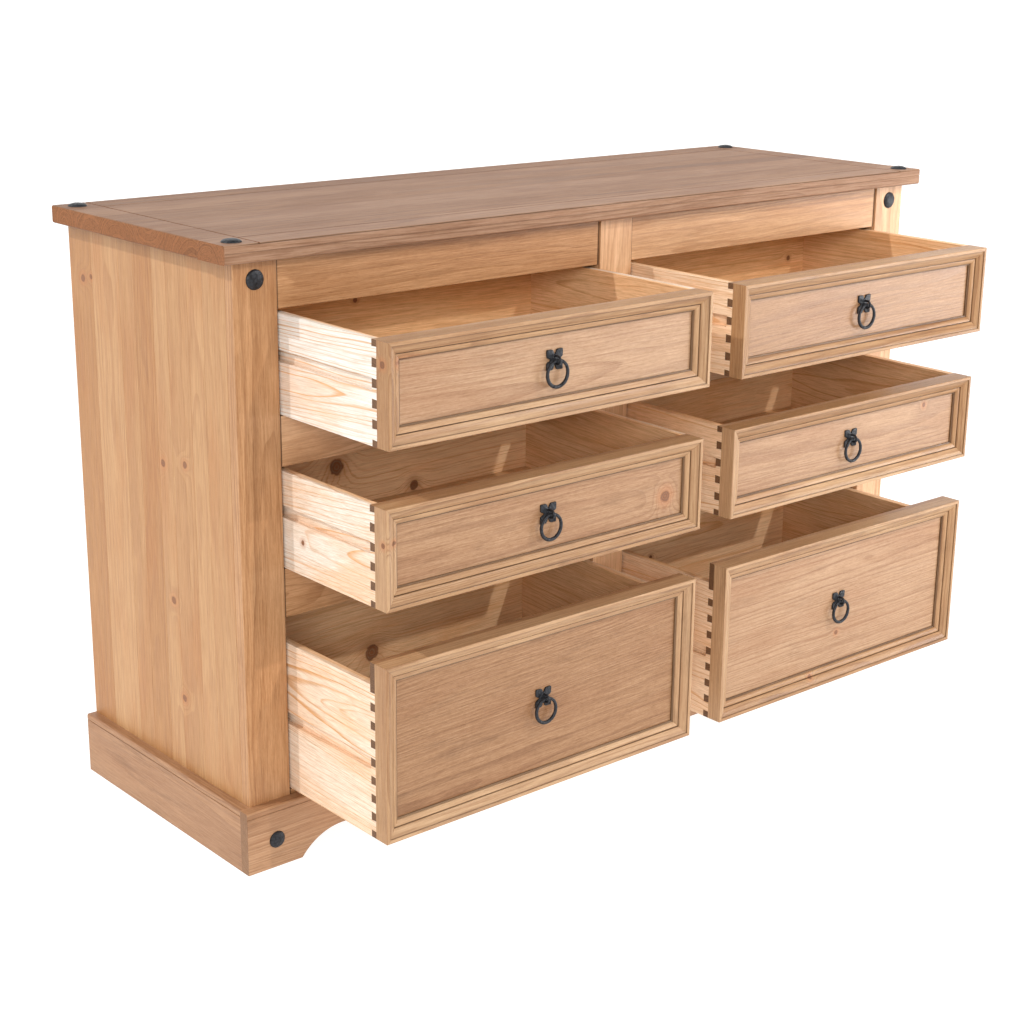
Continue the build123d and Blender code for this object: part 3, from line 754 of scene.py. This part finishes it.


# ---- drawer boxes ------------------------------------------------------------------------
# Pale unfinished sides with tails lapped into the front board and a runner groove outside; their
# inner faces lean to a warm orange as painted shade. A back board stands between the sides, and
# a thin bottom lies in grooves.
SIDE_T, LAP, GROOVE_H, GROOVE_D = 12.0, 9.4, 16.0, 6.5
GROOVE_DROP = {"top": 46.0, "middle": 46.0, "bottom": 98.0}
TAIL_H, PIN_H, TAIL_FLARE, TAIL_GAP, TAIL_ROOM = 13.2, 11.65, 0.5, 0.12, 6.0
LIP_W, TOP_EDGE, SOCKET_EDGE, BACK_EDGE, BASE_EDGE = 10.0, 0.6, 0.3, 0.7, 0.4
# Painted shade: faces inside a drawer get a tone that leans to pale_pine's warm orange.
SIDE_TONE, INNER_SHADE_TONE = {"top": 0.05, "middle": 0.5, "bottom": 0.6}, 1.0
# Painted shade: the right-hand drawers' sides lean to the warm orange, for the left-hand drawers'
# shadow.
RIGHT_SIDE_SHADE_TONE = 0.72
BOX_KNOTS = (((-573.0, -240.5, 453.0), 4.0, "x"),)
BACK_KNOTS = (((-363.0, -68.5, 714.0), 4.0, "y"), ((-258.0, -61.5, 431.0), 8.0, "y"),
              ((-393.0, -61.5, 482.0), 12.0, "y"), ((-335.0, -58.0, 190.0), 13.0, "y"),
              ((175.0, -57.0, 453.0), 5.0, "y"), ((524.0, -65.5, 683.0), 4.5, "y"),
              ((237.0, -54.0, 216.0), 4.0, "y"))
FRONT_KNOTS = (((-89.0, -402.5, 463.0), 9.0, "y"), ((477.0, -398.0, 504.0), 4.0, "y"),
               ((304.0, -395.0, 169.0), 4.0, "y"))
# Its warm colour is painted shade, which inner faces and the right-hand drawers' sides lean to.
pale_pine = wood("pale_pine", (0.75, 0.7, 0.63), (0.6, 0.31, 0.13), ring=5.2, figure=1.0,
                 line=0.68, tint=0.9, warm=(0.86, 0.54, 0.29), end=0.35, rough=0.55, tone_span=0.1,
                 streak=0.1, knots=BOX_KNOTS, coat=0.0)
# The backs are the same raw pine as the sides, painted warmer orange as painted shade inside the
# drawers.
shade_pine = wood("shade_pine", (0.94, 0.64, 0.38), (0.66, 0.32, 0.12), ring=5.5, figure=0.7,
                  line=0.55, warm=(0.84, 0.5, 0.24), end=0.4, rough=0.58, tone_span=0.2,
                  streak=0.2, knots=BACK_KNOTS, coat=0.0)
base_board = wood("base_board", (0.84, 0.56, 0.32), (0.55, 0.3, 0.13), ring=9.0, figure=0.4,
                  line=0.3, rough=0.6, tone_span=0.1, coat=0.0)
front_pine = wood("front_pine", (0.43, 0.26, 0.148), (0.25, 0.12, 0.055), ring=4.4,
                  figure=0.7, line=0.3, warm=(0.38, 0.2, 0.095), end=0.95, rough=0.44,
                  knots=FRONT_KNOTS, blotch=0.3, mottle=0.6)


class Drawer:
    """The limits of one drawer, read from the frame."""

    def __init__(self, column, row):
        self.name, self.row = f"{column}_{row}", row
        self.body = self.name + "_drawer"
        self.x, front_y, self.z = limits(self.name + "_front")
        self.panel_y, self.inner_y = front_y
        self.lap_y = self.inner_y - LAP
        sides = limits(self.name + "_sides")
        self.end_y, self.side_top = sides[1][1], sides[2][1]
        self.base, self.back = limits(self.name + "_base"), limits(self.name + "_back")
        self.plate = limits(self.name + "_pull_plate")
        self.middle = sum(self.x) / 2, sum(self.z) / 2

    def tails(self):
        """Height limits of each tail, spaced evenly on the side's height."""
        height = self.side_top - self.z[0]
        number = int((height - TAIL_ROOM + PIN_H) // (TAIL_H + PIN_H))
        margin = (height - number * TAIL_H - (number - 1) * PIN_H) / 2
        starts = [self.z[0] + margin + n * (TAIL_H + PIN_H) for n in range(number)]
        return [(start, start + TAIL_H) for start in starts]

    def comb(self, grow=0.0):
        """Outline of a side board across X, with its tails towards the front."""
        points = [(self.end_y, self.z[0]), (self.end_y, self.side_top),
                  (self.inner_y, self.side_top)]
        for low, high in reversed(self.tails()):
            points += [(self.inner_y, high + grow), (self.lap_y, high + TAIL_FLARE + grow),
                       (self.lap_y, low - TAIL_FLARE - grow), (self.inner_y, low - grow)]
        return points + [(self.inner_y, self.z[0])]

    def side(self, x, outer, inward):
        """One side board, grooved outside for its runner and inside for the bottom."""
        board = prism(self.comb(), "x", x)
        eased(board, TOP_EDGE, 2, lambda p: p.y > self.inner_y + 1)
        high = self.side_top - GROOVE_DROP[self.row]
        groove = block(sorted((outer - inward * OVERRUN, outer + inward * GROOVE_D)),
                       (self.inner_y, self.end_y + OVERRUN), (high - GROOVE_H, high))
        housing = block(self.back[0], self.back[1], (self.base[2][0], self.side_top + OVERRUN))
        return cut(board, [groove, block(*self.base), housing])

    def front(self):
        """The front board, rebated for the moulding, with a socket for every tail."""
        back_part = block(self.x, (self.lap_y, self.inner_y), self.z)
        sockets = []
        for x in ((self.x[0] - OVERRUN, self.x[0] + SIDE_T),
                  (self.x[1] - SIDE_T, self.x[1] + OVERRUN)):
            for low, high in self.tails():
                outline = [(self.lap_y - 1, low - TAIL_FLARE - TAIL_GAP),
                           (self.lap_y - 1, high + TAIL_FLARE + TAIL_GAP),
                           (self.inner_y + 1, high + TAIL_GAP), (self.inner_y + 1, low - TAIL_GAP)]
                sockets.append(prism(outline, "x", x))
        back_part = eased(cut(back_part, sockets), SOCKET_EDGE)
        panel = block((self.x[0] + LIP_W, self.x[1] - LIP_W), (self.panel_y, self.lap_y),
                      (self.z[0] + LIP_W, self.z[1] - LIP_W))
        return [back_part, panel]


drawers = [Drawer(column, row) for column in ("left", "right") for row in drawer_rows]
for drawer in drawers:
    name = drawer.name
    # The right-hand drawers' sides take a painted-shade tone.
    tone = SIDE_TONE[drawer.row] if drawer.x[0] < 0 else RIGHT_SIDE_SHADE_TONE
    sides = []
    for letter, (low, high), outer, inward in (
            ("l", (drawer.x[0], drawer.x[0] + SIDE_T), drawer.x[0], 1),
            ("r", (drawer.x[1] - SIDE_T, drawer.x[1]), drawer.x[1], -1)):
        board = drawer.side((low, high), outer, inward)
        # Inner faces take the painted-shade tone, outer faces the tone of their drawer.
        sides.append(lay(board, "y", f"{name}_side_{letter}", (20.0, 60.0), 0.05,
                         tone=lambda at: INNER_SHADE_TONE if abs(at.x - outer) > SIDE_T - 1.0
                         else tone))
    piece(f"{name}_side_boards", sides, pale_pine, drawer.body, [f"{name}_sides"])
    back = eased(block(*drawer.back), BACK_EDGE)
    piece(f"{name}_back_board", [lay(back, "x", f"{name}_back", pith=(20.0, 60.0), lean=0.02)],
          shade_pine, drawer.body, [f"{name}_back"])
    bottom = eased(block(*drawer.base), BASE_EDGE)
    piece(f"{name}_base_board", [lay(bottom, "x", f"{name}_base", pith=(30.0, 90.0), lean=0.01)],
          base_board, drawer.body, [f"{name}_base"])
    front = [lay(part, "x", f"{name}_front", pith=(18.0, 60.0), lean=0.03)
             for part in drawer.front()]
    piece(f"{name}_front_board", front, front_pine, drawer.body, [f"{name}_front"])


# ---- drawer mouldings --------------------------------------------------------------------
# Four strips round each front, mitred at the corners. From the rim inwards: a flat fillet, a
# small step, a hollow, a quirk and a half-round bead. Dark wax and painted shade lie in the
# quirks, in the corner of the step and along the foot against the panel.
MOULD_W, MOULD_H, RIM_W, STEP_H, QUIRK_U, QUIRK_H, BEAD_W = 25.5, 15.0, 5.0, 13.4, 15.5, 8.0, 7.0
LIP_T, MITRE_GAP, RIM_EASE = 8.6, 0.1, 0.9
HOLLOW_STEPS, HOLLOW_CURVE, QUIRK_DEPTH = 8, 1.7, 2.6
BEAD_STEPS, BEAD_DROP, BEAD_LOW, BEAD_RISE = 8, 1.6, 4.6, 1.35
MOULD_KNOTS = (((-573.0, -412.5, 714.0), 5.0, "x"), ((-573.0, -410.5, 492.0), 4.0, "x"),
               ((239.0, -405.0, 114.0), 4.0, "y"))
mould_pine = wood("mould_pine", (0.45, 0.27, 0.14), (0.25, 0.118, 0.05), ring=3.6, figure=0.7,
                  line=0.3, warm=(0.41, 0.215, 0.09), rough=0.44, tone_span=0.22, blotch=0.4,
                  mottle=0.3, knots=MOULD_KNOTS)


def strip_profile():
    """Points of the section: distance in from the rim, height, dark wax with painted shade."""
    points = [(MOULD_W, 0.0, 1.0), (LIP_W, 0.0, 0.0), (LIP_W, -LIP_T, 0.0), (0.0, -LIP_T, 0.0)]
    for n in range(4):
        angle = math.radians(30 * n)
        points.append((RIM_EASE * (1 - math.cos(angle)),
                       MOULD_H - RIM_EASE * (1 - math.sin(angle)), 0.0))
    points += [(RIM_W - 0.5, MOULD_H, 0.0), (RIM_W, MOULD_H - 0.5, 0.1), (RIM_W, STEP_H, 0.75)]
    for n in range(1, HOLLOW_STEPS + 1):
        t = n / HOLLOW_STEPS
        points.append((RIM_W + (QUIRK_U - RIM_W) * t,
                       STEP_H - (STEP_H - QUIRK_H) * t ** HOLLOW_CURVE, 0.35 * (1 - t) ** 3))
    points += [(QUIRK_U + 0.3, QUIRK_H - QUIRK_DEPTH, 1.0),
               (QUIRK_U + 1.0, QUIRK_H - QUIRK_DEPTH, 1.0)]
    start, end = QUIRK_U + 1.2, QUIRK_U + 1.2 + BEAD_W
    for n in range(BEAD_STEPS + 1):
        angle = math.radians(20 * n + 10)
        across = (start + end) / 2 - BEAD_W / 2 * math.cos(angle)
        base = QUIRK_H - BEAD_DROP - (QUIRK_H - BEAD_LOW) * n / BEAD_STEPS
        # The bead's feet are darkened a little: dark wax and painted shade in the crease.
        bead_wax_and_shade = 0.4 if n in (0, BEAD_STEPS) else 0.0
        points.append((across, base + BEAD_RISE * math.sin(angle), bead_wax_and_shade))
    return points + [(end + 0.3, 2.4, 0.9), (MOULD_W, 2.2, 0.8)]


def strip(drawer, turn, length, reach, seed):
    """One mitred strip, turned about the middle of the drawer's front."""
    mesh = bmesh.new()
    rows = []
    profile = strip_profile()
    for end in (-1, 1):
        row = []
        for inward, height, _ in profile:
            run, rise = end * (length / 2 - inward - MITRE_GAP), inward - reach / 2
            x = run * math.cos(turn) - rise * math.sin(turn)
            z = run * math.sin(turn) + rise * math.cos(turn)
            row.append(mesh.verts.new((drawer.middle[0] + x, drawer.panel_y - height,
                                       drawer.middle[1] + z)))
        rows.append(row)
    mesh.faces.new(rows[0])
    mesh.faces.new(reversed(rows[1]))
    for n in range(len(profile)):
        mesh.faces.new((rows[0][n], rows[0][n - 1], rows[1][n - 1], rows[1][n]))
    bmesh.ops.recalc_face_normals(mesh, faces=mesh.faces)
    lay(mesh, "x" if abs(math.sin(turn)) < 0.5 else "z", seed, pith=(25.0, 70.0), lean=0.01)
    # Each corner takes its darkening, dark wax with painted shade, from the profile.
    wax_and_shade_layer = mesh.verts.layers.float["wax"]
    for number, vert in enumerate(mesh.verts):
        vert[wax_and_shade_layer] = profile[number % len(profile)][2]
    return mesh


for drawer in drawers:
    width, height = drawer.x[1] - drawer.x[0], drawer.z[1] - drawer.z[0]
    strips = []
    for quarter, (length, reach) in enumerate(((width, height), (height, width)) * 2):
        seed = f"{drawer.name}_strip{quarter}"
        strips.append(strip(drawer, quarter * math.pi / 2, length, reach, seed))
    piece(f"{drawer.name}_moulding_strips", strips, mould_pine, drawer.body,
          [f"{drawer.name}_moulding"], crease=38)


# ---- ironwork ----------------------------------------------------------------------------
# Forged black iron: a square plate notched on every edge, with a staple through its middle,
# and the ring that hangs in the staple. All of it is hammered and a little uneven.
PLATE_T, PLATE_HALF, NOTCH_HALF, NOTCH_DEPTH, HUB_R = 2.4, 13.4, 4.0, 6.0, 6.4
NOTCH_FLAT, PLATE_BEVEL, HUB_SINK = 0.8, 0.7, 0.2
RING_R, WIRE_R, RING_OUT = 17.0, 2.5, 7.6
EYE_R, EYE_WIRE_R = 5.0, 1.7
PLATE_DENT, PLATE_DENT_STEP = 0.12, 2.3
RING_DENT, RING_DENT_STEP, RING_STEPS = 0.18, 3.6, 72
IRON_RELIEF = 0.5


def black_iron():
    """Blackened iron: dark waxed scale, rubbed brighter in places, with hammer marks."""
    g = Graph("black_iron")
    here = g.vector("MULTIPLY", g.node("ShaderNodeTexCoord", None, None, "Object"),
                    (1 / MM, 1 / MM, 1 / MM))
    dents = g.node("ShaderNodeTexVoronoi", {"feature": "SMOOTH_F1"},
                   {"Vector": here, "Scale": 0.28, "Smoothness": 0.6}, "Distance")
    scale = g.noise(here, 0.9, 4.0, 0.6)
    patch = g.noise(here, 0.12, 3.0)
    rubbed = g.step(dents + (patch - 0.5) * 0.8, 0.35, 0.95)
    colour = g.mix(rubbed, tinted((0.022, 0.024, 0.03)), tinted((0.006, 0.006, 0.008)))
    colour = g.mix(g.step(scale, 0.58, 0.8) * 0.5, colour, tinted((0.03, 0.019, 0.014)))
    height = dents * 1.2 + scale * 0.35
    return g.finish(colour, 0.34 + scale * 0.24, height, IRON_RELIEF * MM,
                    {"Metallic": 0.35, "Specular IOR Level": 0.4, "Coat Weight": 0.08,
                     "Coat Roughness": 0.3})


iron = black_iron()


def hammered(mesh, amount, step, seed):
    """Push every corner a little in or out along its normal, as a hammer leaves it."""
    mesh.normal_update()
    moves = []
    for vert in mesh.verts:
        lump = noise.noise(vert.co / step + Vector((seed, seed * 0.7, -seed)))
        moves.append(vert.normal * (lump - 0.35) * amount)
    for vert, move in zip(mesh.verts, moves):
        vert.co += move
    return mesh


def tube(path, radius, closed, steps=12, swell=None):
    """A round bar along a path of points, closed on itself or capped."""
    mesh = bmesh.new()
    rings = []
    count = len(path)
    for n, at in enumerate(path):
        ahead = path[(n + 1) % count] if closed or n < count - 1 else at
        behind = path[n - 1] if closed or n > 0 else at
        tangent = (ahead - behind).normalized()
        aside = tangent.cross(Vector((1, 0, 0)) if abs(tangent.x) < 0.9 else Vector((0, 1, 0)))
        aside.normalize()
        over = tangent.cross(aside)
        here = radius * (swell(n / count) if swell else 1.0)
        rings.append([mesh.verts.new(at + here * (aside * math.cos(math.tau * k / steps)
                                                  + over * math.sin(math.tau * k / steps)))
                      for k in range(steps)])
    for n in range(count if closed else count - 1):
        for k in range(steps):
            mesh.faces.new((rings[n][k], rings[n][k - 1], rings[(n + 1) % count][k - 1],
                            rings[(n + 1) % count][k]))
    if not closed:
        mesh.faces.new(rings[0])
        mesh.faces.new(reversed(rings[-1]))
    bmesh.ops.recalc_face_normals(mesh, faces=mesh.faces)
    return mesh


def iron_piece(name, meshes, body, nodes):
    """Join iron meshes into one smooth piece."""
    made = as_object(meshes)
    made.name = made.data.name = name
    made.data.transform(Matrix.Scale(MM, 4))
    made.data.materials.clear()
    made.data.materials.append(iron)
    made.data.shade_smooth()
    made.data.set_sharp_from_angle(angle=math.radians(55))
    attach(made, body)
    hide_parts(*nodes)
    return made


def cross_plate(drawer):
    """The back plate: a notched square with bevelled edges and a raised hub."""
    x, y, z = drawer.plate
    middle = Vector((sum(x) / 2, drawer.panel_y, sum(z) / 2))
    outline = []
    edge = [(-PLATE_HALF + 0.9, PLATE_HALF), (-NOTCH_HALF - 0.5, PLATE_HALF - 0.2),
            (-NOTCH_HALF + 1.0, PLATE_HALF - 1.2), (-NOTCH_FLAT, PLATE_HALF - NOTCH_DEPTH),
            (NOTCH_FLAT, PLATE_HALF - NOTCH_DEPTH), (NOTCH_HALF - 1.0, PLATE_HALF - 1.2),
            (NOTCH_HALF + 0.5, PLATE_HALF - 0.2), (PLATE_HALF - 0.9, PLATE_HALF)]
    for _ in range(4):
        outline += [(middle.x + u, middle.z + v) for u, v in edge]
        edge = [(v, -u) for u, v in edge]
    plate = prism(outline, "y", (middle.y - PLATE_T, middle.y))
    eased(plate, PLATE_BEVEL, 3, lambda p: p.y < middle.y - PLATE_T + 0.1)
    bmesh.ops.triangulate(plate, faces=[f for f in plate.faces if len(f.verts) > 4])
    bmesh.ops.subdivide_edges(plate, edges=plate.edges, cuts=1, use_grid_fill=False)
    hub = bmesh.new()
    bmesh.ops.create_uvsphere(hub, u_segments=28, v_segments=12, radius=1.0)
    for vert in hub.verts:
        across, up, out = vert.co.x * HUB_R, vert.co.y * HUB_R, vert.co.z - PLATE_T + HUB_SINK
        vert.co = Vector((across, out, up)) + middle
        vert.co.y = min(vert.co.y, middle.y - 0.1)
    bmesh.ops.recalc_face_normals(hub, faces=hub.faces)
    legs = [middle + Vector((0, -0.5, -EYE_R)), middle + Vector((0, -RING_OUT * 0.5, -EYE_R)),
            middle + Vector((0, -RING_OUT * 0.9, -EYE_R))]
    for n in range(13):
        angle = math.radians(-90 + 15 * n)
        legs.append(middle + Vector((0, -RING_OUT - EYE_R * math.cos(angle), EYE_R * math.sin(angle))))
    legs += [middle + Vector((0, -RING_OUT * 0.5, EYE_R)), middle + Vector((0, -0.5, EYE_R))]
    staple = tube(legs, EYE_WIRE_R, False)
    for mesh in (plate, hub, staple):
        hammered(mesh, PLATE_DENT, PLATE_DENT_STEP, middle.x)
    return [plate, hub, staple]


def pull_ring(drawer):
    """The hanging ring, thickest at the bottom where the hand takes it."""
    x, y, z = limits(drawer.name + "_pull_ring")
    middle = Vector((sum(x) / 2, sum(y) / 2, sum(z) / 2))
    angles = [math.tau * n / RING_STEPS for n in range(RING_STEPS)]
    path = [middle + Vector((RING_R * math.sin(a), 0, RING_R * math.cos(a))) for a in angles]
    ring = tube(path, WIRE_R, True, 14, lambda t: 0.93 - 0.07 * math.cos(math.tau * t))
    return hammered(ring, RING_DENT, RING_DENT_STEP, middle.z)


for drawer in drawers:
    iron_piece(f"{drawer.name}_iron_plate", cross_plate(drawer), drawer.body,
               [f"{drawer.name}_pull_plate"])
    iron_piece(f"{drawer.name}_iron_ring", [pull_ring(drawer)], drawer.name + "_ring",
               [f"{drawer.name}_pull_ring"])


# ---- studs -------------------------------------------------------------------------------
# One hammered domed head, set on points at the top's corners, on the outer stiles and,
# smaller, on the front feet of the plinth.
STUD_R, STUD_H, STUD_SCALE_LOW = 13.0, 4.6, 0.92
TOP_STUD_X, TOP_STUD_FRONT, TOP_STUD_BACK = 635.0, 24.0, 26.0
STILE_STUD_X, STILE_STUD_Z = 607.5, 787.0
FOOT_STUD_X, FOOT_STUD_Z = 609.0, 40.0
STUD_DENT, STUD_DENT_STEP, STUD_DENT_SEED = 0.3, 4.2, 5.0
STUD_SPIN, SPIN_SEED = math.pi, 7


def stud_head():
    """A dome with flats left by the hammer."""
    mesh = bmesh.new()
    rings, around = 12, 48
    rows = []
    for n in range(rings + 1):
        t = n / rings
        radius = STUD_R * math.sin(t * math.pi / 2)
        level = STUD_H * math.cos(t * math.pi / 2) ** 0.9 if n < rings else 0.0
        rows.append([mesh.verts.new((radius * math.cos(math.tau * k / around),
                                     radius * math.sin(math.tau * k / around), level))
                     for k in range(around)] if n else [mesh.verts.new((0, 0, STUD_H))])
    for k in range(around):
        mesh.faces.new((rows[0][0], rows[1][k - 1], rows[1][k]))
        for n in range(1, rings):
            mesh.faces.new((rows[n][k], rows[n][k - 1], rows[n + 1][k - 1], rows[n + 1][k]))
    mesh.faces.new(reversed(rows[-1]))
    bmesh.ops.recalc_face_normals(mesh, faces=mesh.faces)
    hammered(mesh, STUD_DENT, STUD_DENT_STEP, STUD_DENT_SEED)
    for vert in mesh.verts:
        vert.co.z = min(max(vert.co.z, 0.0), STUD_H)
    return mesh


def fixings_group():
    """Geometry nodes: one item on every point, turned to face out and spun at random."""
    group = bpy.data.node_groups.new("fixings", "GeometryNodeTree")
    sockets = (("Points", "NodeSocketGeometry"), ("Item", "NodeSocketObject"),
               ("Spin", "NodeSocketFloat"), ("Seed", "NodeSocketInt"),
               ("Finish", "NodeSocketMaterial"))
    for label, kind in sockets:
        group.interface.new_socket(label, in_out="INPUT", socket_type=kind)
    group.interface.new_socket("Fixings", in_out="OUTPUT", socket_type="NodeSocketGeometry")
    nodes, links = group.nodes, group.links
    inputs, outputs = nodes.new("NodeGroupInput"), nodes.new("NodeGroupOutput")
    item = nodes.new("GeometryNodeObjectInfo")
    facing = nodes.new("GeometryNodeInputNamedAttribute")
    facing.data_type = "FLOAT_VECTOR"
    facing.inputs["Name"].default_value = "facing"
    size = nodes.new("GeometryNodeInputNamedAttribute")
    size.data_type = "FLOAT"
    size.inputs["Name"].default_value = "size"
    turn = nodes.new("FunctionNodeAlignRotationToVector")
    turn.axis = "Z"
    spin = nodes.new("FunctionNodeRandomValue")
    spin.data_type = "FLOAT"
    spin.inputs[2].default_value = 0.0
    about = nodes.new("FunctionNodeAxisAngleToRotation")
    about.inputs["Axis"].default_value = (0.0, 0.0, 1.0)
    both = nodes.new("FunctionNodeRotateRotation")
    both.rotation_space = "LOCAL"
    place = nodes.new("GeometryNodeInstanceOnPoints")
    real = nodes.new("GeometryNodeRealizeInstances")
    finish = nodes.new("GeometryNodeSetMaterial")
    links.new(inputs.outputs["Item"], item.inputs["Object"])
    links.new(facing.outputs["Attribute"], turn.inputs["Vector"])
    links.new(inputs.outputs["Spin"], spin.inputs[3])
    links.new(inputs.outputs["Seed"], spin.inputs["Seed"])
    links.new(spin.outputs[1], about.inputs["Angle"])
    links.new(turn.outputs[0], both.inputs[0])
    links.new(about.outputs[0], both.inputs[1])
    links.new(inputs.outputs["Points"], place.inputs["Points"])
    links.new(item.outputs["Geometry"], place.inputs["Instance"])
    links.new(both.outputs[0], place.inputs["Rotation"])
    links.new(size.outputs["Attribute"], place.inputs["Scale"])
    links.new(place.outputs["Instances"], real.inputs["Geometry"])
    links.new(real.outputs["Geometry"], finish.inputs["Geometry"])
    links.new(inputs.outputs["Finish"], finish.inputs["Material"])
    links.new(finish.outputs["Geometry"], outputs.inputs["Fixings"])
    return group


def set_out(name, group, item, places, spin, seed):
    """Run the fixings group on a list of (place, facing, scale) and give a plain object."""
    data = bpy.data.meshes.new(name + "_points")
    data.from_pydata([Vector(at) * MM for at, facing, scale in places], [], [])
    facing = data.attributes.new("facing", "FLOAT_VECTOR", "POINT")
    facing.data.foreach_set("vector", [c for at, out, scale in places for c in out])
    scales = data.attributes.new("size", "FLOAT", "POINT")
    scales.data.foreach_set("value", [scale for at, out, scale in places])
    holder = bpy.data.objects.new(name + "_work", data)
    bpy.context.scene.collection.objects.link(holder)
    modifier = holder.modifiers.new("fixings", "NODES")
    modifier.node_group = group
    values = {"Item": item, "Spin": spin, "Seed": seed, "Finish": iron}
    for socket in group.interface.items_tree:
        if socket.in_out == "INPUT" and socket.name in values:
            modifier[socket.identifier] = values[socket.name]
    graph = bpy.context.evaluated_depsgraph_get()
    mesh = bpy.data.meshes.new_from_object(holder.evaluated_get(graph), depsgraph=graph)
    discard(holder)
    made = bpy.data.objects.new(name, mesh)
    bpy.context.scene.collection.objects.link(made)
    mesh.name = name
    return made


fixings = fixings_group()
head = as_object([stud_head()])
head.data.transform(Matrix.Scale(MM, 4))
head.data.shade_smooth()
head.data.set_sharp_from_angle(angle=math.radians(50))
stile_y, foot_y = limits("front_stile_left")[1][0], plinth_y[0]
stud_places = []
for side in (-1, 1):
    for y in (top_y[0] + TOP_STUD_FRONT, top_y[1] - TOP_STUD_BACK):
        stud_places.append(((side * TOP_STUD_X, y, top_z[1]), (0, 0, 1), 1.0))
    stud_places.append(((side * STILE_STUD_X, stile_y, STILE_STUD_Z), (0, -1, 0), 1.0))
    stud_places.append(((side * FOOT_STUD_X, foot_y, FOOT_STUD_Z), (0, -1, 0), STUD_SCALE_LOW))
studs = set_out("stud_heads", fixings, head, stud_places, STUD_SPIN, SPIN_SEED)
discard(head)
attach(studs, "carcass")
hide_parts("domed_studs")
